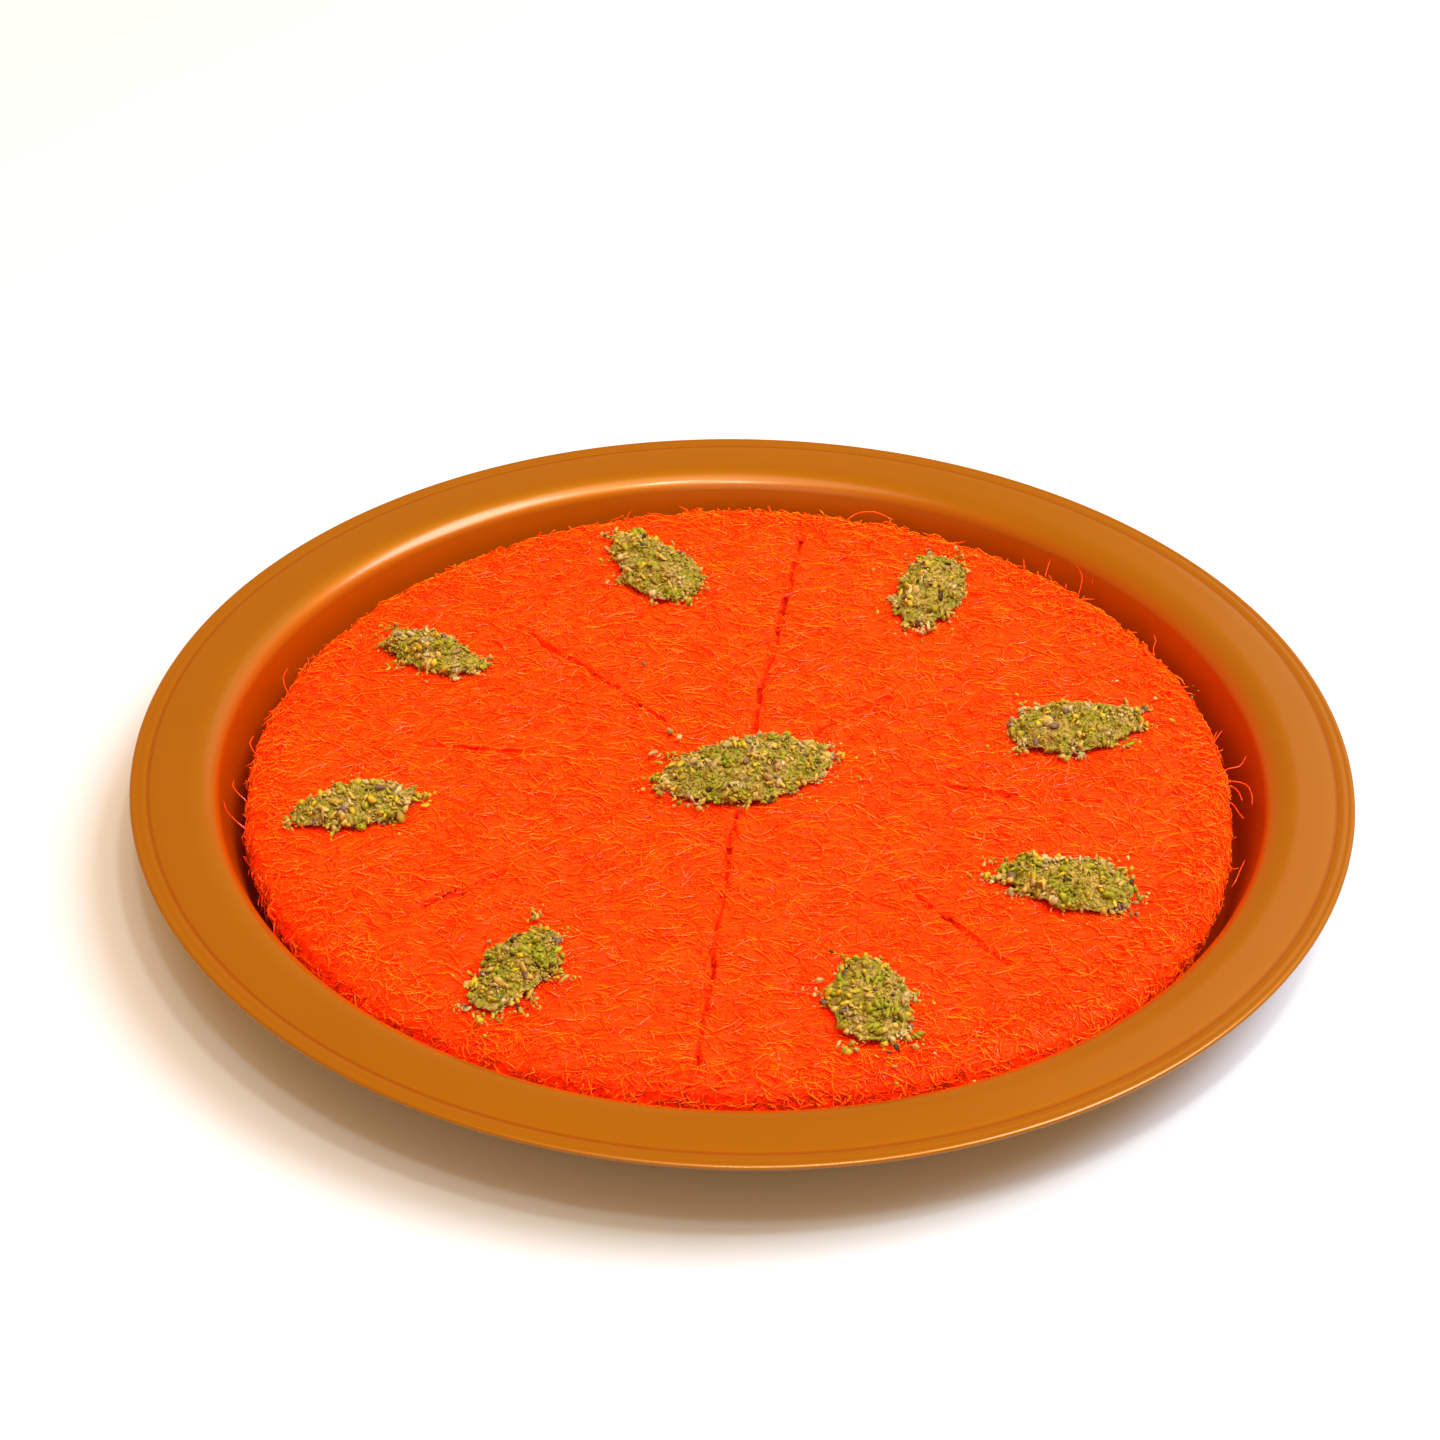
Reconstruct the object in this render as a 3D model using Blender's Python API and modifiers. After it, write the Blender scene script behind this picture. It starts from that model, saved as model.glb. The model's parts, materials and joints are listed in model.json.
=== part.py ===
"""Tray of shredded-pastry kunafa with nine heaps of ground pistachio.

Metres, +Z up. The origin is the centre of the tray's underside, and -Y is the near side.
"""
import math
import random

import bmesh
import bpy
from mathutils import Matrix, Vector, noise

MM = 0.001
OBJECT_NAME = "kunafa"

# Tray: spun sheet with a sloping wall, a wide level flange and a rolled rim.
RIM_RADIUS = 180.0 * MM
TRAY_HEIGHT = 30.0 * MM
SHEET = 1.2 * MM
RIM_BEAD_RISE = 1.4 * MM
CREASE_RADIUS = 174.7 * MM
CREASE_WIDTH = 0.9 * MM
CREASE_DEPTH = 0.3 * MM
SHOULDER_RADIUS = 158.8 * MM
SHOULDER_BEND = 4.0 * MM
CORNER_BEND = 6.0 * MM
WALL_LEAN = 17.0
BEAD_UPPER_HALF = 1.2 * MM
BEAD_LOWER_HALF = 2.3 * MM
BEAD_TUCK = 55.0
TRAY_SEGMENTS = 64
FLANGE_Z = TRAY_HEIGHT - RIM_BEAD_RISE

# Pastry: one flat cake of fine shreds with a soft edge.
PASTRY_RADIUS = 147.0 * MM
PASTRY_CENTRE = (-0.3 * MM, -1.0 * MM)
PASTRY_TOP = 23.0 * MM
REST_GAP = 0.3 * MM
PASTRY_BASE = SHEET + REST_GAP
EDGE_ROUND = 7.0 * MM
FOOT_ROUND = 6.0 * MM
SIDE_ROUGHNESS = 0.4 * MM
# how the hand-pressed outline wanders: waves round the edge, their height, and the azimuth phase in degrees
OUTLINE_WAVES = (
    (2, 0.4 * MM, 90.0),
    (3, 1.2 * MM, 252.0),
    (4, 0.8 * MM, 185.0),
    (5, 0.5 * MM, 113.0),
)
TUFT_DEPTH = 1.0 * MM
TUFT_SIZE = 11.0 * MM
TUFT_SHIFT = 1.3 * MM
TUFT_MEAN = 0.5
TUFT_CONTRAST = 0.9
PASTRY_DIVISIONS = 22
PASTRY_SEED = 7

# Knife scores: they meet beside the middle, and shreds bridge each one here and there.
SCORE_CENTRE = (0.0, -3.0 * MM)
SCORE_WIDTH = 2.4 * MM
SCORE_DEPTH = 1.9 * MM
SCORE_RISE = 1.0 * MM
SCORE_FLOOR_LENGTH = 0.8
SCORE_FLOOR_WIDTH = 0.15
SHORTEST_CUT = 9.0 * MM
LONGEST_CUT = 20.0 * MM
SHORTEST_BRIDGE = 1.5 * MM
LONGEST_BRIDGE = 4.0 * MM
SCORE_WANDER = 0.5 * MM
SCORE_TURN = 3.0
SCORE_SEED = 21
# azimuth in degrees, start and end distance from the meeting point in millimetres
SCORES = {
    "right": (-7.0, 47.0, 110.0),
    "back_right": (40.5, 27.0, 62.0),
    "back": (82.0, 17.0, 131.0),
    "back_left": (134.3, 33.0, 106.0),
    "left": (175.0, 62.0, 96.0),
    "front_left": (217.5, 84.0, 117.0),
    "front": (265.5, 21.0, 134.0),
    "front_right": (310.0, 70.0, 116.0),
}

# Pistachio heaps: centre x and y, length, width and height in millimetres,
# azimuth of the long axis in degrees, and how much wider its far end is than the middle.
HEAPS = {
    "pistachio_centre": (2.8, -6.0, 59.0, 33.0, 6.6, 20.0, -0.16),
    "pistachio_right": (100.4, 18.4, 47.0, 27.5, 5.7, 14.0, -0.05),
    "pistachio_back_right": (60.2, 94.0, 48.5, 24.5, 5.7, 76.0, 0.0),
    "pistachio_back_left": (-30.3, 105.0, 50.0, 26.0, 5.7, 120.0, -0.26),
    "pistachio_left_back": (-97.2, 51.9, 41.0, 18.5, 5.7, 154.0, 0.15),
    "pistachio_left_front": (-113.2, -27.7, 43.0, 21.0, 5.7, 23.0, 0.13),
    "pistachio_front_left": (-60.3, -99.6, 45.5, 19.5, 5.7, 64.0, 0.03),
    "pistachio_front_right": (35.4, -110.5, 38.5, 25.0, 5.7, 93.0, 0.08),
    "pistachio_right_front": (92.2, -57.2, 44.5, 24.5, 5.7, 167.0, -0.31),
}
HEAP_BASE = PASTRY_TOP + REST_GAP
HEAP_RING_SEGMENTS = 14
HEAP_LEVELS = 4
HEAP_POINTEDNESS = 1.8
HEAP_UNEVENNESS = 0.035
HEAP_SHOULDER = 0.75
GRAIN_LARGEST = 4.2 * MM
GRAIN_SMALLEST = 2.6 * MM
GRAIN_SPACING = 5.6 * MM
GRAIN_CLEARANCE = 0.1 * MM
GRAIN_WIDTH = (0.65, 0.9)
GRAIN_THICKNESS = (0.5, 0.75)
GRAIN_TILT = 0.6
GRAIN_UNEVENNESS = 0.12
GRAIN_LIFT = 0.12
GRAIN_TRIES = 400
GRAINS_IN_CENTRE_HEAP = 17
GRAINS_IN_SMALL_HEAP = 11

FULL_TURN = 2.0 * math.pi


def remove_scene_objects():
    for item in list(bpy.data.objects):
        bpy.data.objects.remove(item, do_unlink=True)


def new_collection(name):
    collection = bpy.data.collections.new(name)
    bpy.context.scene.collection.children.link(collection)
    return collection


def add_material(item, name, colour, roughness, metallic):
    material = bpy.data.materials.new(name)
    material.use_nodes = True
    shader = material.node_tree.nodes["Principled BSDF"]
    shader.inputs["Base Color"].default_value = (*colour, 1.0)
    shader.inputs["Roughness"].default_value = roughness
    shader.inputs["Metallic"].default_value = metallic
    item.data.materials.append(material)


def object_from_bmesh(mesh_builder, name, collection):
    mesh = bpy.data.meshes.new(name)
    mesh_builder.to_mesh(mesh)
    mesh_builder.free()
    item = bpy.data.objects.new(name, mesh)
    collection.objects.link(item)
    return item


def arc(centre, radii, start, end, steps):
    """Points of an elliptical arc in the profile's plane, with angles in degrees from outwards to up."""
    points = []
    for step in range(steps + 1):
        angle = math.radians(start + (end - start) * step / steps)
        points.append((centre[0] + radii[0] * math.cos(angle), centre[1] + radii[1] * math.sin(angle)))
    return points


def tray_skin(offset, bend_steps):
    """Profile of one face of the sheet from the axis to the flange, offset outwards from the inner face."""
    lean = math.radians(WALL_LEAN)
    shoulder_bend = SHOULDER_BEND - offset
    shoulder_centre = (SHOULDER_RADIUS, FLANGE_Z - SHOULDER_BEND)
    corner_bend = CORNER_BEND + offset
    corner_z = SHEET + CORNER_BEND
    wall_top_r = shoulder_centre[0] - SHOULDER_BEND * math.cos(lean)
    wall_top_z = shoulder_centre[1] + SHOULDER_BEND * math.sin(lean)
    wall_foot_z = corner_z - CORNER_BEND * math.sin(lean)
    wall_foot_r = wall_top_r - (wall_top_z - wall_foot_z) * math.tan(lean)
    corner_centre = (wall_foot_r - CORNER_BEND * math.cos(lean), corner_z)
    points = [(0.0, SHEET - offset)]
    points += arc(corner_centre, (corner_bend, corner_bend), -90.0, -WALL_LEAN, bend_steps)
    points += arc(shoulder_centre, (shoulder_bend, shoulder_bend), 180.0 - WALL_LEAN, 90.0, bend_steps)
    return points


def make_tray(collection):
    bead_half_width = 0.5 * (RIM_RADIUS - CREASE_RADIUS)
    bead_centre = (RIM_RADIUS - bead_half_width, TRAY_HEIGHT - BEAD_UPPER_HALF)
    crease_half = 0.5 * CREASE_WIDTH
    profile = tray_skin(0.0, 3)
    profile.append((CREASE_RADIUS - crease_half, FLANGE_Z))
    profile.append((CREASE_RADIUS, FLANGE_Z - CREASE_DEPTH))
    profile += arc(bead_centre, (bead_half_width, BEAD_UPPER_HALF), 160.0, 0.0, 4)
    profile += arc(bead_centre, (bead_half_width, BEAD_LOWER_HALF), 0.0, -180.0 + BEAD_TUCK, 3)[1:]
    profile.append((CREASE_RADIUS - crease_half, FLANGE_Z - SHEET))
    profile += reversed(tray_skin(SHEET, 2))
    mesh = bpy.data.meshes.new("tray")
    edges = [(index, index + 1) for index in range(len(profile) - 1)]
    mesh.from_pydata([(radius, 0.0, height) for radius, height in profile], edges, [])
    tray = bpy.data.objects.new("tray", mesh)
    collection.objects.link(tray)
    turn = tray.modifiers.new("turn", "SCREW")
    turn.steps = TRAY_SEGMENTS
    turn.render_steps = TRAY_SEGMENTS
    turn.use_merge_vertices = True
    turn.merge_threshold = 0.01 * MM
    turn.use_smooth_shade = True
    add_material(tray, "gold_lacquered_aluminium", (0.58, 0.20, 0.02), 0.35, 0.8)
    return tray


def azimuth_of(vertex):
    return math.atan2(vertex.co.y, vertex.co.x)


def outline_radius(azimuth):
    """The cake's radius, which wanders a little round its edge."""
    radius = PASTRY_RADIUS
    for count, height, phase in OUTLINE_WAVES:
        radius += height * math.cos(count * azimuth - math.radians(phase))
    return radius


def hexagon_reach(azimuth):
    """Distance along an azimuth to the side of a unit hexagon with corners at +Y and -Y."""
    sixth = math.radians(60.0)
    return math.cos(0.5 * sixth) / math.cos((azimuth + 0.5 * sixth) % sixth - 0.5 * sixth)


def tuft_dip(point):
    """How far the shreds lie below the cake's highest tufts."""
    value = noise.noise(Vector((point[0] / TUFT_SIZE, point[1] / TUFT_SIZE, PASTRY_SEED)))
    return TUFT_DEPTH * min(1.0, max(0.0, TUFT_MEAN + TUFT_CONTRAST * value))


def make_pastry_cake(collection):
    draws = random.Random(PASTRY_SEED)
    cake = bmesh.new()
    bmesh.ops.create_circle(cake, cap_ends=True, cap_tris=True, segments=6, radius=1.0)
    bmesh.ops.subdivide_edges(cake, edges=cake.edges[:], cuts=PASTRY_DIVISIONS, use_grid_fill=True)
    rim_edges = [edge for edge in cake.edges if edge.is_boundary]
    rim_vertices = {vertex for edge in rim_edges for vertex in edge.verts}
    for vertex in cake.verts:
        azimuth = azimuth_of(vertex)
        share = math.hypot(vertex.co.x, vertex.co.y) / hexagon_reach(azimuth)
        radius = share * (outline_radius(azimuth) - EDGE_ROUND)
        place = Vector((radius * math.cos(azimuth), radius * math.sin(azimuth), 0.0))
        if vertex not in rim_vertices:
            place.x += draws.uniform(-TUFT_SHIFT, TUFT_SHIFT)
            place.y += draws.uniform(-TUFT_SHIFT, TUFT_SHIFT)
        place.z = PASTRY_TOP - tuft_dip(place)
        vertex.co = place
    height = PASTRY_TOP - PASTRY_BASE
    # distance in from the outline and drop below the top, down the soft edge and the side
    steps = (
        (0.27 * EDGE_ROUND, 0.3 * EDGE_ROUND),
        (0.0, EDGE_ROUND),
        (0.4 * FOOT_ROUND, height - FOOT_ROUND),
        (FOOT_ROUND, height),
    )
    for inset, drop in steps:
        grown = bmesh.ops.extrude_edge_only(cake, edges=rim_edges)
        rim_edges = [item for item in grown["geom"] if isinstance(item, bmesh.types.BMEdge)]
        ring = {vertex for edge in rim_edges for vertex in edge.verts}
        for vertex in sorted(ring, key=azimuth_of):
            azimuth = azimuth_of(vertex)
            ragged = 0.0 if drop == height else draws.uniform(-SIDE_ROUGHNESS, SIDE_ROUGHNESS)
            radius = outline_radius(azimuth) - inset + ragged
            vertex.co = Vector((radius * math.cos(azimuth), radius * math.sin(azimuth), PASTRY_TOP - drop))
    bmesh.ops.edgeloop_fill(cake, edges=rim_edges)
    bmesh.ops.translate(cake, verts=cake.verts[:], vec=(*PASTRY_CENTRE, 0.0))
    bmesh.ops.recalc_face_normals(cake, faces=cake.faces[:])
    return object_from_bmesh(cake, "pastry", collection)


def make_score_cutter(name, collection, middle, azimuth, length):
    """One wedge that presses a stretch of a knife score into the cake."""
    cutter = bmesh.new()
    bmesh.ops.create_cube(cutter, size=1.0)
    for vertex in cutter.verts:
        if vertex.co.z > 0.0:
            vertex.co.x *= length
            vertex.co.y *= SCORE_WIDTH * (1.0 + SCORE_RISE / SCORE_DEPTH)
            vertex.co.z = SCORE_RISE
        else:
            vertex.co.x *= SCORE_FLOOR_LENGTH * length
            vertex.co.y *= SCORE_FLOOR_WIDTH * SCORE_WIDTH
            vertex.co.z = -SCORE_DEPTH
    item = object_from_bmesh(cutter, name, collection)
    item.location = (middle[0], middle[1], PASTRY_TOP)
    item.rotation_euler = (0.0, 0.0, azimuth)
    item.hide_render = True
    item.display_type = "WIRE"


def make_score_cutters(collection):
    draws = random.Random(SCORE_SEED)
    for name, (azimuth_degrees, start, end) in SCORES.items():
        azimuth = math.radians(azimuth_degrees)
        reach = start * MM
        index = 0
        while reach < end * MM - LONGEST_BRIDGE:
            length = min(draws.uniform(SHORTEST_CUT, LONGEST_CUT), end * MM - reach)
            distance = reach + 0.5 * length
            sideways = draws.uniform(-SCORE_WANDER, SCORE_WANDER)
            middle = (
                SCORE_CENTRE[0] + distance * math.cos(azimuth) - sideways * math.sin(azimuth),
                SCORE_CENTRE[1] + distance * math.sin(azimuth) + sideways * math.cos(azimuth),
            )
            turn = math.radians(draws.uniform(-SCORE_TURN, SCORE_TURN))
            make_score_cutter(f"score_{name}_{index}", collection, middle, azimuth + turn, length)
            reach += length + draws.uniform(SHORTEST_BRIDGE, LONGEST_BRIDGE)
            index += 1


def make_pastry(collection, cutters):
    pastry = make_pastry_cake(collection)
    make_score_cutters(cutters)
    score = pastry.modifiers.new("knife_scores", "BOOLEAN")
    score.operation = "DIFFERENCE"
    score.operand_type = "COLLECTION"
    score.collection = cutters
    score.solver = "EXACT"
    add_material(pastry, "shredded_pastry", (1.0, 0.07, 0.004), 0.45, 0.0)
    return pastry


def heap_point(angle, share, shape, phases):
    """Place on a heap's surface, at a share of the way from its middle to its pointed, uneven outline."""
    length, width, height, fullness = shape
    along = abs(math.cos(angle) / (0.5 * length)) ** HEAP_POINTEDNESS
    across = abs(math.sin(angle) / (0.5 * width)) ** HEAP_POINTEDNESS
    waves = math.sin(3.0 * angle + phases[0]) + 0.7 * math.sin(5.0 * angle + phases[1])
    reach = share * (across + along) ** (-1.0 / HEAP_POINTEDNESS) * (1.0 + HEAP_UNEVENNESS * waves)
    x = reach * math.cos(angle)
    y = reach * math.sin(angle) * (1.0 + fullness * x / (0.5 * length))
    return Vector((x, y, height * max(0.0, 1.0 - share * share) ** HEAP_SHOULDER))


def make_heap_core(name, collection, shape, phases):
    core = bmesh.new()
    bmesh.ops.create_uvsphere(core, u_segments=HEAP_RING_SEGMENTS, v_segments=2 * HEAP_LEVELS, radius=1.0)
    lowest_ring = 0.5 / HEAP_LEVELS
    below = [vertex for vertex in core.verts if vertex.co.z < -lowest_ring]
    bmesh.ops.delete(core, geom=below, context="VERTS")
    for vertex in core.verts:
        angle = azimuth_of(vertex)
        share = math.hypot(vertex.co.x, vertex.co.y) if vertex.co.z > lowest_ring else 1.0
        vertex.co = heap_point(angle, share, shape, phases)
    bmesh.ops.edgeloop_fill(core, edges=[edge for edge in core.edges if edge.is_boundary])
    bmesh.ops.recalc_face_normals(core, faces=core.faces[:])
    return object_from_bmesh(core, name, collection)


def make_grain(name, collection, place, size, draws):
    """One chip of nut: an uneven lump, flatter one way than the others."""
    grain = bmesh.new()
    bmesh.ops.create_icosphere(grain, subdivisions=1, radius=0.5)
    stretch = Vector((size, size * draws.uniform(*GRAIN_WIDTH), size * draws.uniform(*GRAIN_THICKNESS)))
    spin = Matrix.Rotation(draws.uniform(0.0, FULL_TURN), 3, "Z")
    turn = spin @ Matrix.Rotation(draws.uniform(-GRAIN_TILT, GRAIN_TILT), 3, "X")
    for vertex in grain.verts:
        vertex.co *= draws.uniform(1.0 - GRAIN_UNEVENNESS, 1.0 + GRAIN_UNEVENNESS)
        vertex.co = turn @ Vector(part * scale for part, scale in zip(vertex.co, stretch))
    lowest = min(vertex.co.z for vertex in grain.verts)
    rise = max(place.z + GRAIN_LIFT * size, GRAIN_CLEARANCE - lowest)
    bmesh.ops.translate(grain, verts=grain.verts[:], vec=(place.x, place.y, rise))
    return object_from_bmesh(grain, name, collection)


def grain_places(count, shape, phases, draws):
    """Spreads chips over a heap, none closer than the spacing to another."""
    places = []
    for attempt in range(GRAIN_TRIES):
        if len(places) == count:
            break
        angle = draws.uniform(0.0, FULL_TURN)
        place = heap_point(angle, math.sqrt(draws.uniform(0.03, 0.95)), shape, phases)
        if all((place - other).length > GRAIN_SPACING for other in places):
            places.append(place)
    return places


def drop_loose_scraps(mesh):
    """Keeps a mesh's largest body alone."""
    builder = bmesh.new()
    builder.from_mesh(mesh)
    unseen = set(builder.verts)
    bodies = []
    while unseen:
        front = [unseen.pop()]
        body = set(front)
        while front:
            vertex = front.pop()
            reached = {edge.other_vert(vertex) for edge in vertex.link_edges} & unseen
            unseen -= reached
            body |= reached
            front += reached
        bodies.append(body)
    bodies.sort(key=len)
    scraps = [vertex for body in bodies[:-1] for vertex in body]
    bmesh.ops.delete(builder, geom=scraps, context="VERTS")
    builder.to_mesh(mesh)
    builder.free()


def join_grains(core, collection):
    """Fuses the chips of a collection to their core and removes the chips."""
    fuse = core.modifiers.new("fuse", "BOOLEAN")
    fuse.operation = "UNION"
    fuse.operand_type = "COLLECTION"
    fuse.collection = collection
    fuse.solver = "EXACT"
    evaluated = core.evaluated_get(bpy.context.evaluated_depsgraph_get())
    fused = bpy.data.meshes.new_from_object(evaluated)
    drop_loose_scraps(fused)
    core.modifiers.remove(fuse)
    core.data = fused
    for grain in list(collection.objects):
        bpy.data.objects.remove(grain, do_unlink=True)
    bpy.data.collections.remove(collection)


def make_heap(name, collection, seed):
    x, y, length, width, height, azimuth, fullness = HEAPS[name]
    shape = (length * MM, width * MM, height * MM, fullness)
    draws = random.Random(seed)
    phases = (draws.uniform(0.0, FULL_TURN), draws.uniform(0.0, FULL_TURN))
    heap = make_heap_core(name, collection, shape, phases)
    grains = new_collection(f"{name}_grains")
    count = GRAINS_IN_CENTRE_HEAP if name == "pistachio_centre" else GRAINS_IN_SMALL_HEAP
    for index, place in enumerate(grain_places(count, shape, phases, draws)):
        size = draws.uniform(GRAIN_SMALLEST, GRAIN_LARGEST)
        make_grain(f"{name}_grain_{index}", grains, place, size, draws)
    join_grains(heap, grains)
    heap.location = (x * MM, y * MM, HEAP_BASE)
    heap.rotation_euler = (0.0, 0.0, math.radians(azimuth))
    add_material(heap, f"ground_{name}", (0.42, 0.35, 0.07), 0.7, 0.0)
    return heap


def main():
    remove_scene_objects()
    pieces = new_collection(OBJECT_NAME)
    cutters = new_collection("cutters")
    make_tray(pieces)
    make_pastry(pieces, cutters)
    for seed, name in enumerate(HEAPS):
        make_heap(name, pieces, seed)


main()
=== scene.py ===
import json
import math
import random

import bpy
import numpy as np
from bpy.props import FloatProperty, FloatVectorProperty, IntProperty, PointerProperty
from mathutils import Matrix, Vector, noise
from mathutils.bvhtree import BVHTree

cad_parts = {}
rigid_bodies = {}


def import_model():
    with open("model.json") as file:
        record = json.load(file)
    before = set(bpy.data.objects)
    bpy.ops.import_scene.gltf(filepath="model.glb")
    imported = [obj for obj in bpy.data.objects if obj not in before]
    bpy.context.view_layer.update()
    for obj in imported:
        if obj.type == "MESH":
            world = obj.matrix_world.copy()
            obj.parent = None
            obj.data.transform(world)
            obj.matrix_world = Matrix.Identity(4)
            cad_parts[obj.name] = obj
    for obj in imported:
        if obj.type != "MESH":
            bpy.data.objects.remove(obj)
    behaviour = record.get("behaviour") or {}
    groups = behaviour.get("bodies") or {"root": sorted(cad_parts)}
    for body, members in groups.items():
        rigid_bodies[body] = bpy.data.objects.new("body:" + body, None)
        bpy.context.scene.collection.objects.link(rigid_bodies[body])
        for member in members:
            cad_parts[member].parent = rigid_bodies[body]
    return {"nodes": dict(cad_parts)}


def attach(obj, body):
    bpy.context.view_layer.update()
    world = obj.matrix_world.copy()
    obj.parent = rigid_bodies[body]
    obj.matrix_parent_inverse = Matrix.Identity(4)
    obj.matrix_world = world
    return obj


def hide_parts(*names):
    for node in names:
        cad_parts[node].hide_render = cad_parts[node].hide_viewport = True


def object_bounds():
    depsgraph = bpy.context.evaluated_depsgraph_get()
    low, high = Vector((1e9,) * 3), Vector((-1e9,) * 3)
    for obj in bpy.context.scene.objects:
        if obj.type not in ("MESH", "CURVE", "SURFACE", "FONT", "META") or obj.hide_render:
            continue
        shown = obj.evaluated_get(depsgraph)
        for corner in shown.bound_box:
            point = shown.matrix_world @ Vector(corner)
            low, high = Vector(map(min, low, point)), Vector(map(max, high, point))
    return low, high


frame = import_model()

bl_info = {
    "name": "Kunafa tray",
    "version": (1, 0, 0),
    "blender": (4, 5, 0),
    "location": "3D View > Sidebar > Kunafa",
    "description": "Dresses a tray of orange shredded-pastry kunafa with ground pistachio",
    "category": "Object",
}

MM = 0.001
FULL_TURN = 2.0 * math.pi
CAD_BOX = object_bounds()

# Tray, in metres: the same sheet as the solid, with a finer turn and softer bends.
RIM_RADIUS = 180.0 * MM
SHEET = 1.2 * MM
FLANGE_Z = 28.9 * MM
CREASE_RADIUS = 174.7 * MM
CREASE_WIDTH = 1.2 * MM
CREASE_DEPTH = 0.1 * MM
SHOULDER_RADIUS = 164.4 * MM
SHOULDER_REACH = 10.2 * MM
SHOULDER_DROP = 6.5 * MM
CORNER_BEND = 6.0 * MM
WALL_LEAN = 17.0
# the cake's red reflection, painted on the wall, thins out between these radii, and towards the back between
# these places
PAINTED_REFLECTION_FROM = 150.0 * MM
PAINTED_REFLECTION_TO = 160.0 * MM
PAINTED_REFLECTION_THINS_FROM_Y = 30.0 * MM
PAINTED_REFLECTION_THINS_TO_Y = 150.0 * MM
PAINTED_REFLECTION_AT_BACK = 0.3
# radii of the rings across the floor and the flange, in millimetres
FLOOR_RINGS = (10.0, 50.0, 95.0, 130.0)
FLANGE_RINGS = (167.5, 171.0)
# the rolled rim's upper side from the crease outwards, in millimetres
BEAD_FACE = (
    (175.2, 28.84), (175.8, 29.0), (176.5, 29.13), (177.2, 29.16), (177.7, 29.08), (178.1, 29.1),
    (178.6, 29.22), (179.1, 29.26), (179.5, 29.16), (179.8, 28.95), (179.95, 28.72),
)
BEAD_MIDDLE_Z = 28.5 * MM
BEAD_LOWER_HALF = 1.5 * MM
BEAD_TUCK = 55.0
RING_TOLERANCE = 0.01 * MM

# copies of solids are joined where their corners lie closer than this
MERGE_REACH = 0.005 * MM

# Cake, as in the solid.
CAKE_RADIUS = 147.0 * MM
CAKE_CENTRE = (-0.3 * MM, -1.0 * MM)
CAKE_TOP = 23.0 * MM
CAKE_EDGE_ROUND = 7.0 * MM
SCORE_CENTRE = (0.0, -3.0 * MM)
# azimuth in degrees, then start and end distance from the meeting point and half width of the gap in
# millimetres
SCORES = {
    "right": (-7.0, 47.0, 110.0, 1.0),
    "back_right": (40.5, 27.0, 62.0, 0.6),
    "back": (82.0, 17.0, 131.0, 1.0),
    "back_left": (134.3, 33.0, 106.0, 0.9),
    "left": (175.0, 62.0, 96.0, 0.6),
    "front_left": (217.5, 84.0, 117.0, 1.25),
    "front": (265.5, 21.0, 134.0, 0.75),
    "front_right": (310.0, 70.0, 116.0, 0.6),
}
# the pits of a score: depth, soft edge, least half width, and how far below the cake's top they start
TORN_DEPTH = 1.05 * MM
TORN_SOFTNESS = 0.45 * MM
NARROWEST_PIT = 0.15 * MM
TORN_BAND = 3.5 * MM
# waves along a score that widen its pits, and that make them stray: height, length in millimetres for each
# radian, and shift with the score's azimuth
PIT_WIDTH_WAVES = ((0.7, 2.9, 1.0), (0.8, 0.9, 2.3), (0.7, 7.7, 1.1))
PIT_STRAY_WAVES = ((0.6, 6.3, 3.0), (0.3, 2.1, 1.0))
# relief of clouds: their size, depth of detail, strength, and the level that stays in place
TUFTS = (3.2 * MM, 2, 0.6 * MM, 0.85)
LUMPS = (5.5 * MM, 1, 1.5 * MM, 0.6)

# Shreds, on the top of the cake and by how much more at its edge.
SHRED_RINGS = 4
STRAY_RINGS = 13
EDGE_FROM = 0.85 * CAKE_RADIUS
EDGE_REACH = 0.12 * CAKE_RADIUS
AZIMUTH_SPREAD = (0.65, 0.3)
ASTRAY_SHARE = (0.3, 0.3)
CURL_SPREAD = (0.3, 0.1)
BEND_SPREAD = 0.16
LENGTH_RANGE = (0.4, 1.6)
EDGE_SHORTENING = 0.2
# waves along a shred, dip and rise of its ends in millimetres, and its thickness against the mean
WAVES_ALONG = (3.0, 9.0)
END_DIP = 0.2
END_RISE = (0.8, 2.8)
END_RISE_BEND = 1.6
THICKNESS_RANGE = (0.75, 1.25)
STRAY_THICKNESS = 0.9
END_TAPER = 0.55
# most shreds lie along this azimuth in degrees, and swing to both sides in drifts of this width
GRAIN_AZIMUTH = 14.0
GRAIN_SWING = 85.0
GRAIN_DRIFT = 60.0
GRAIN_ORIGIN = Vector((3.7, 1.3, 5.0))
# steps at which a shred is tested against the scores, and the fewest that make a shred
PATH_STEPS = 21
SHORTEST_RUN = 4
# setting that holds the colour, spread of the tone, roughness, gloss
SHRED_TONES = {
    # painted shade: the lowest layer of shreds is drawn a deeper red
    "deep": ("deep_shred", 0.2, 0.5, 0.05),
    "shred": ("shred", 0.22, 0.45, 0.05),
    # painted highlight: the top layer is drawn a paler orange; it is also really glossier
    "pale": ("pale_shred", 0.2, 0.25, 0.55),
    # painted light: the shreds at the cake's edge are drawn in the paler orange to lighten its shaded edge
    "edge": ("pale_shred", 0.2, 0.45, 0.05),
}
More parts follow.
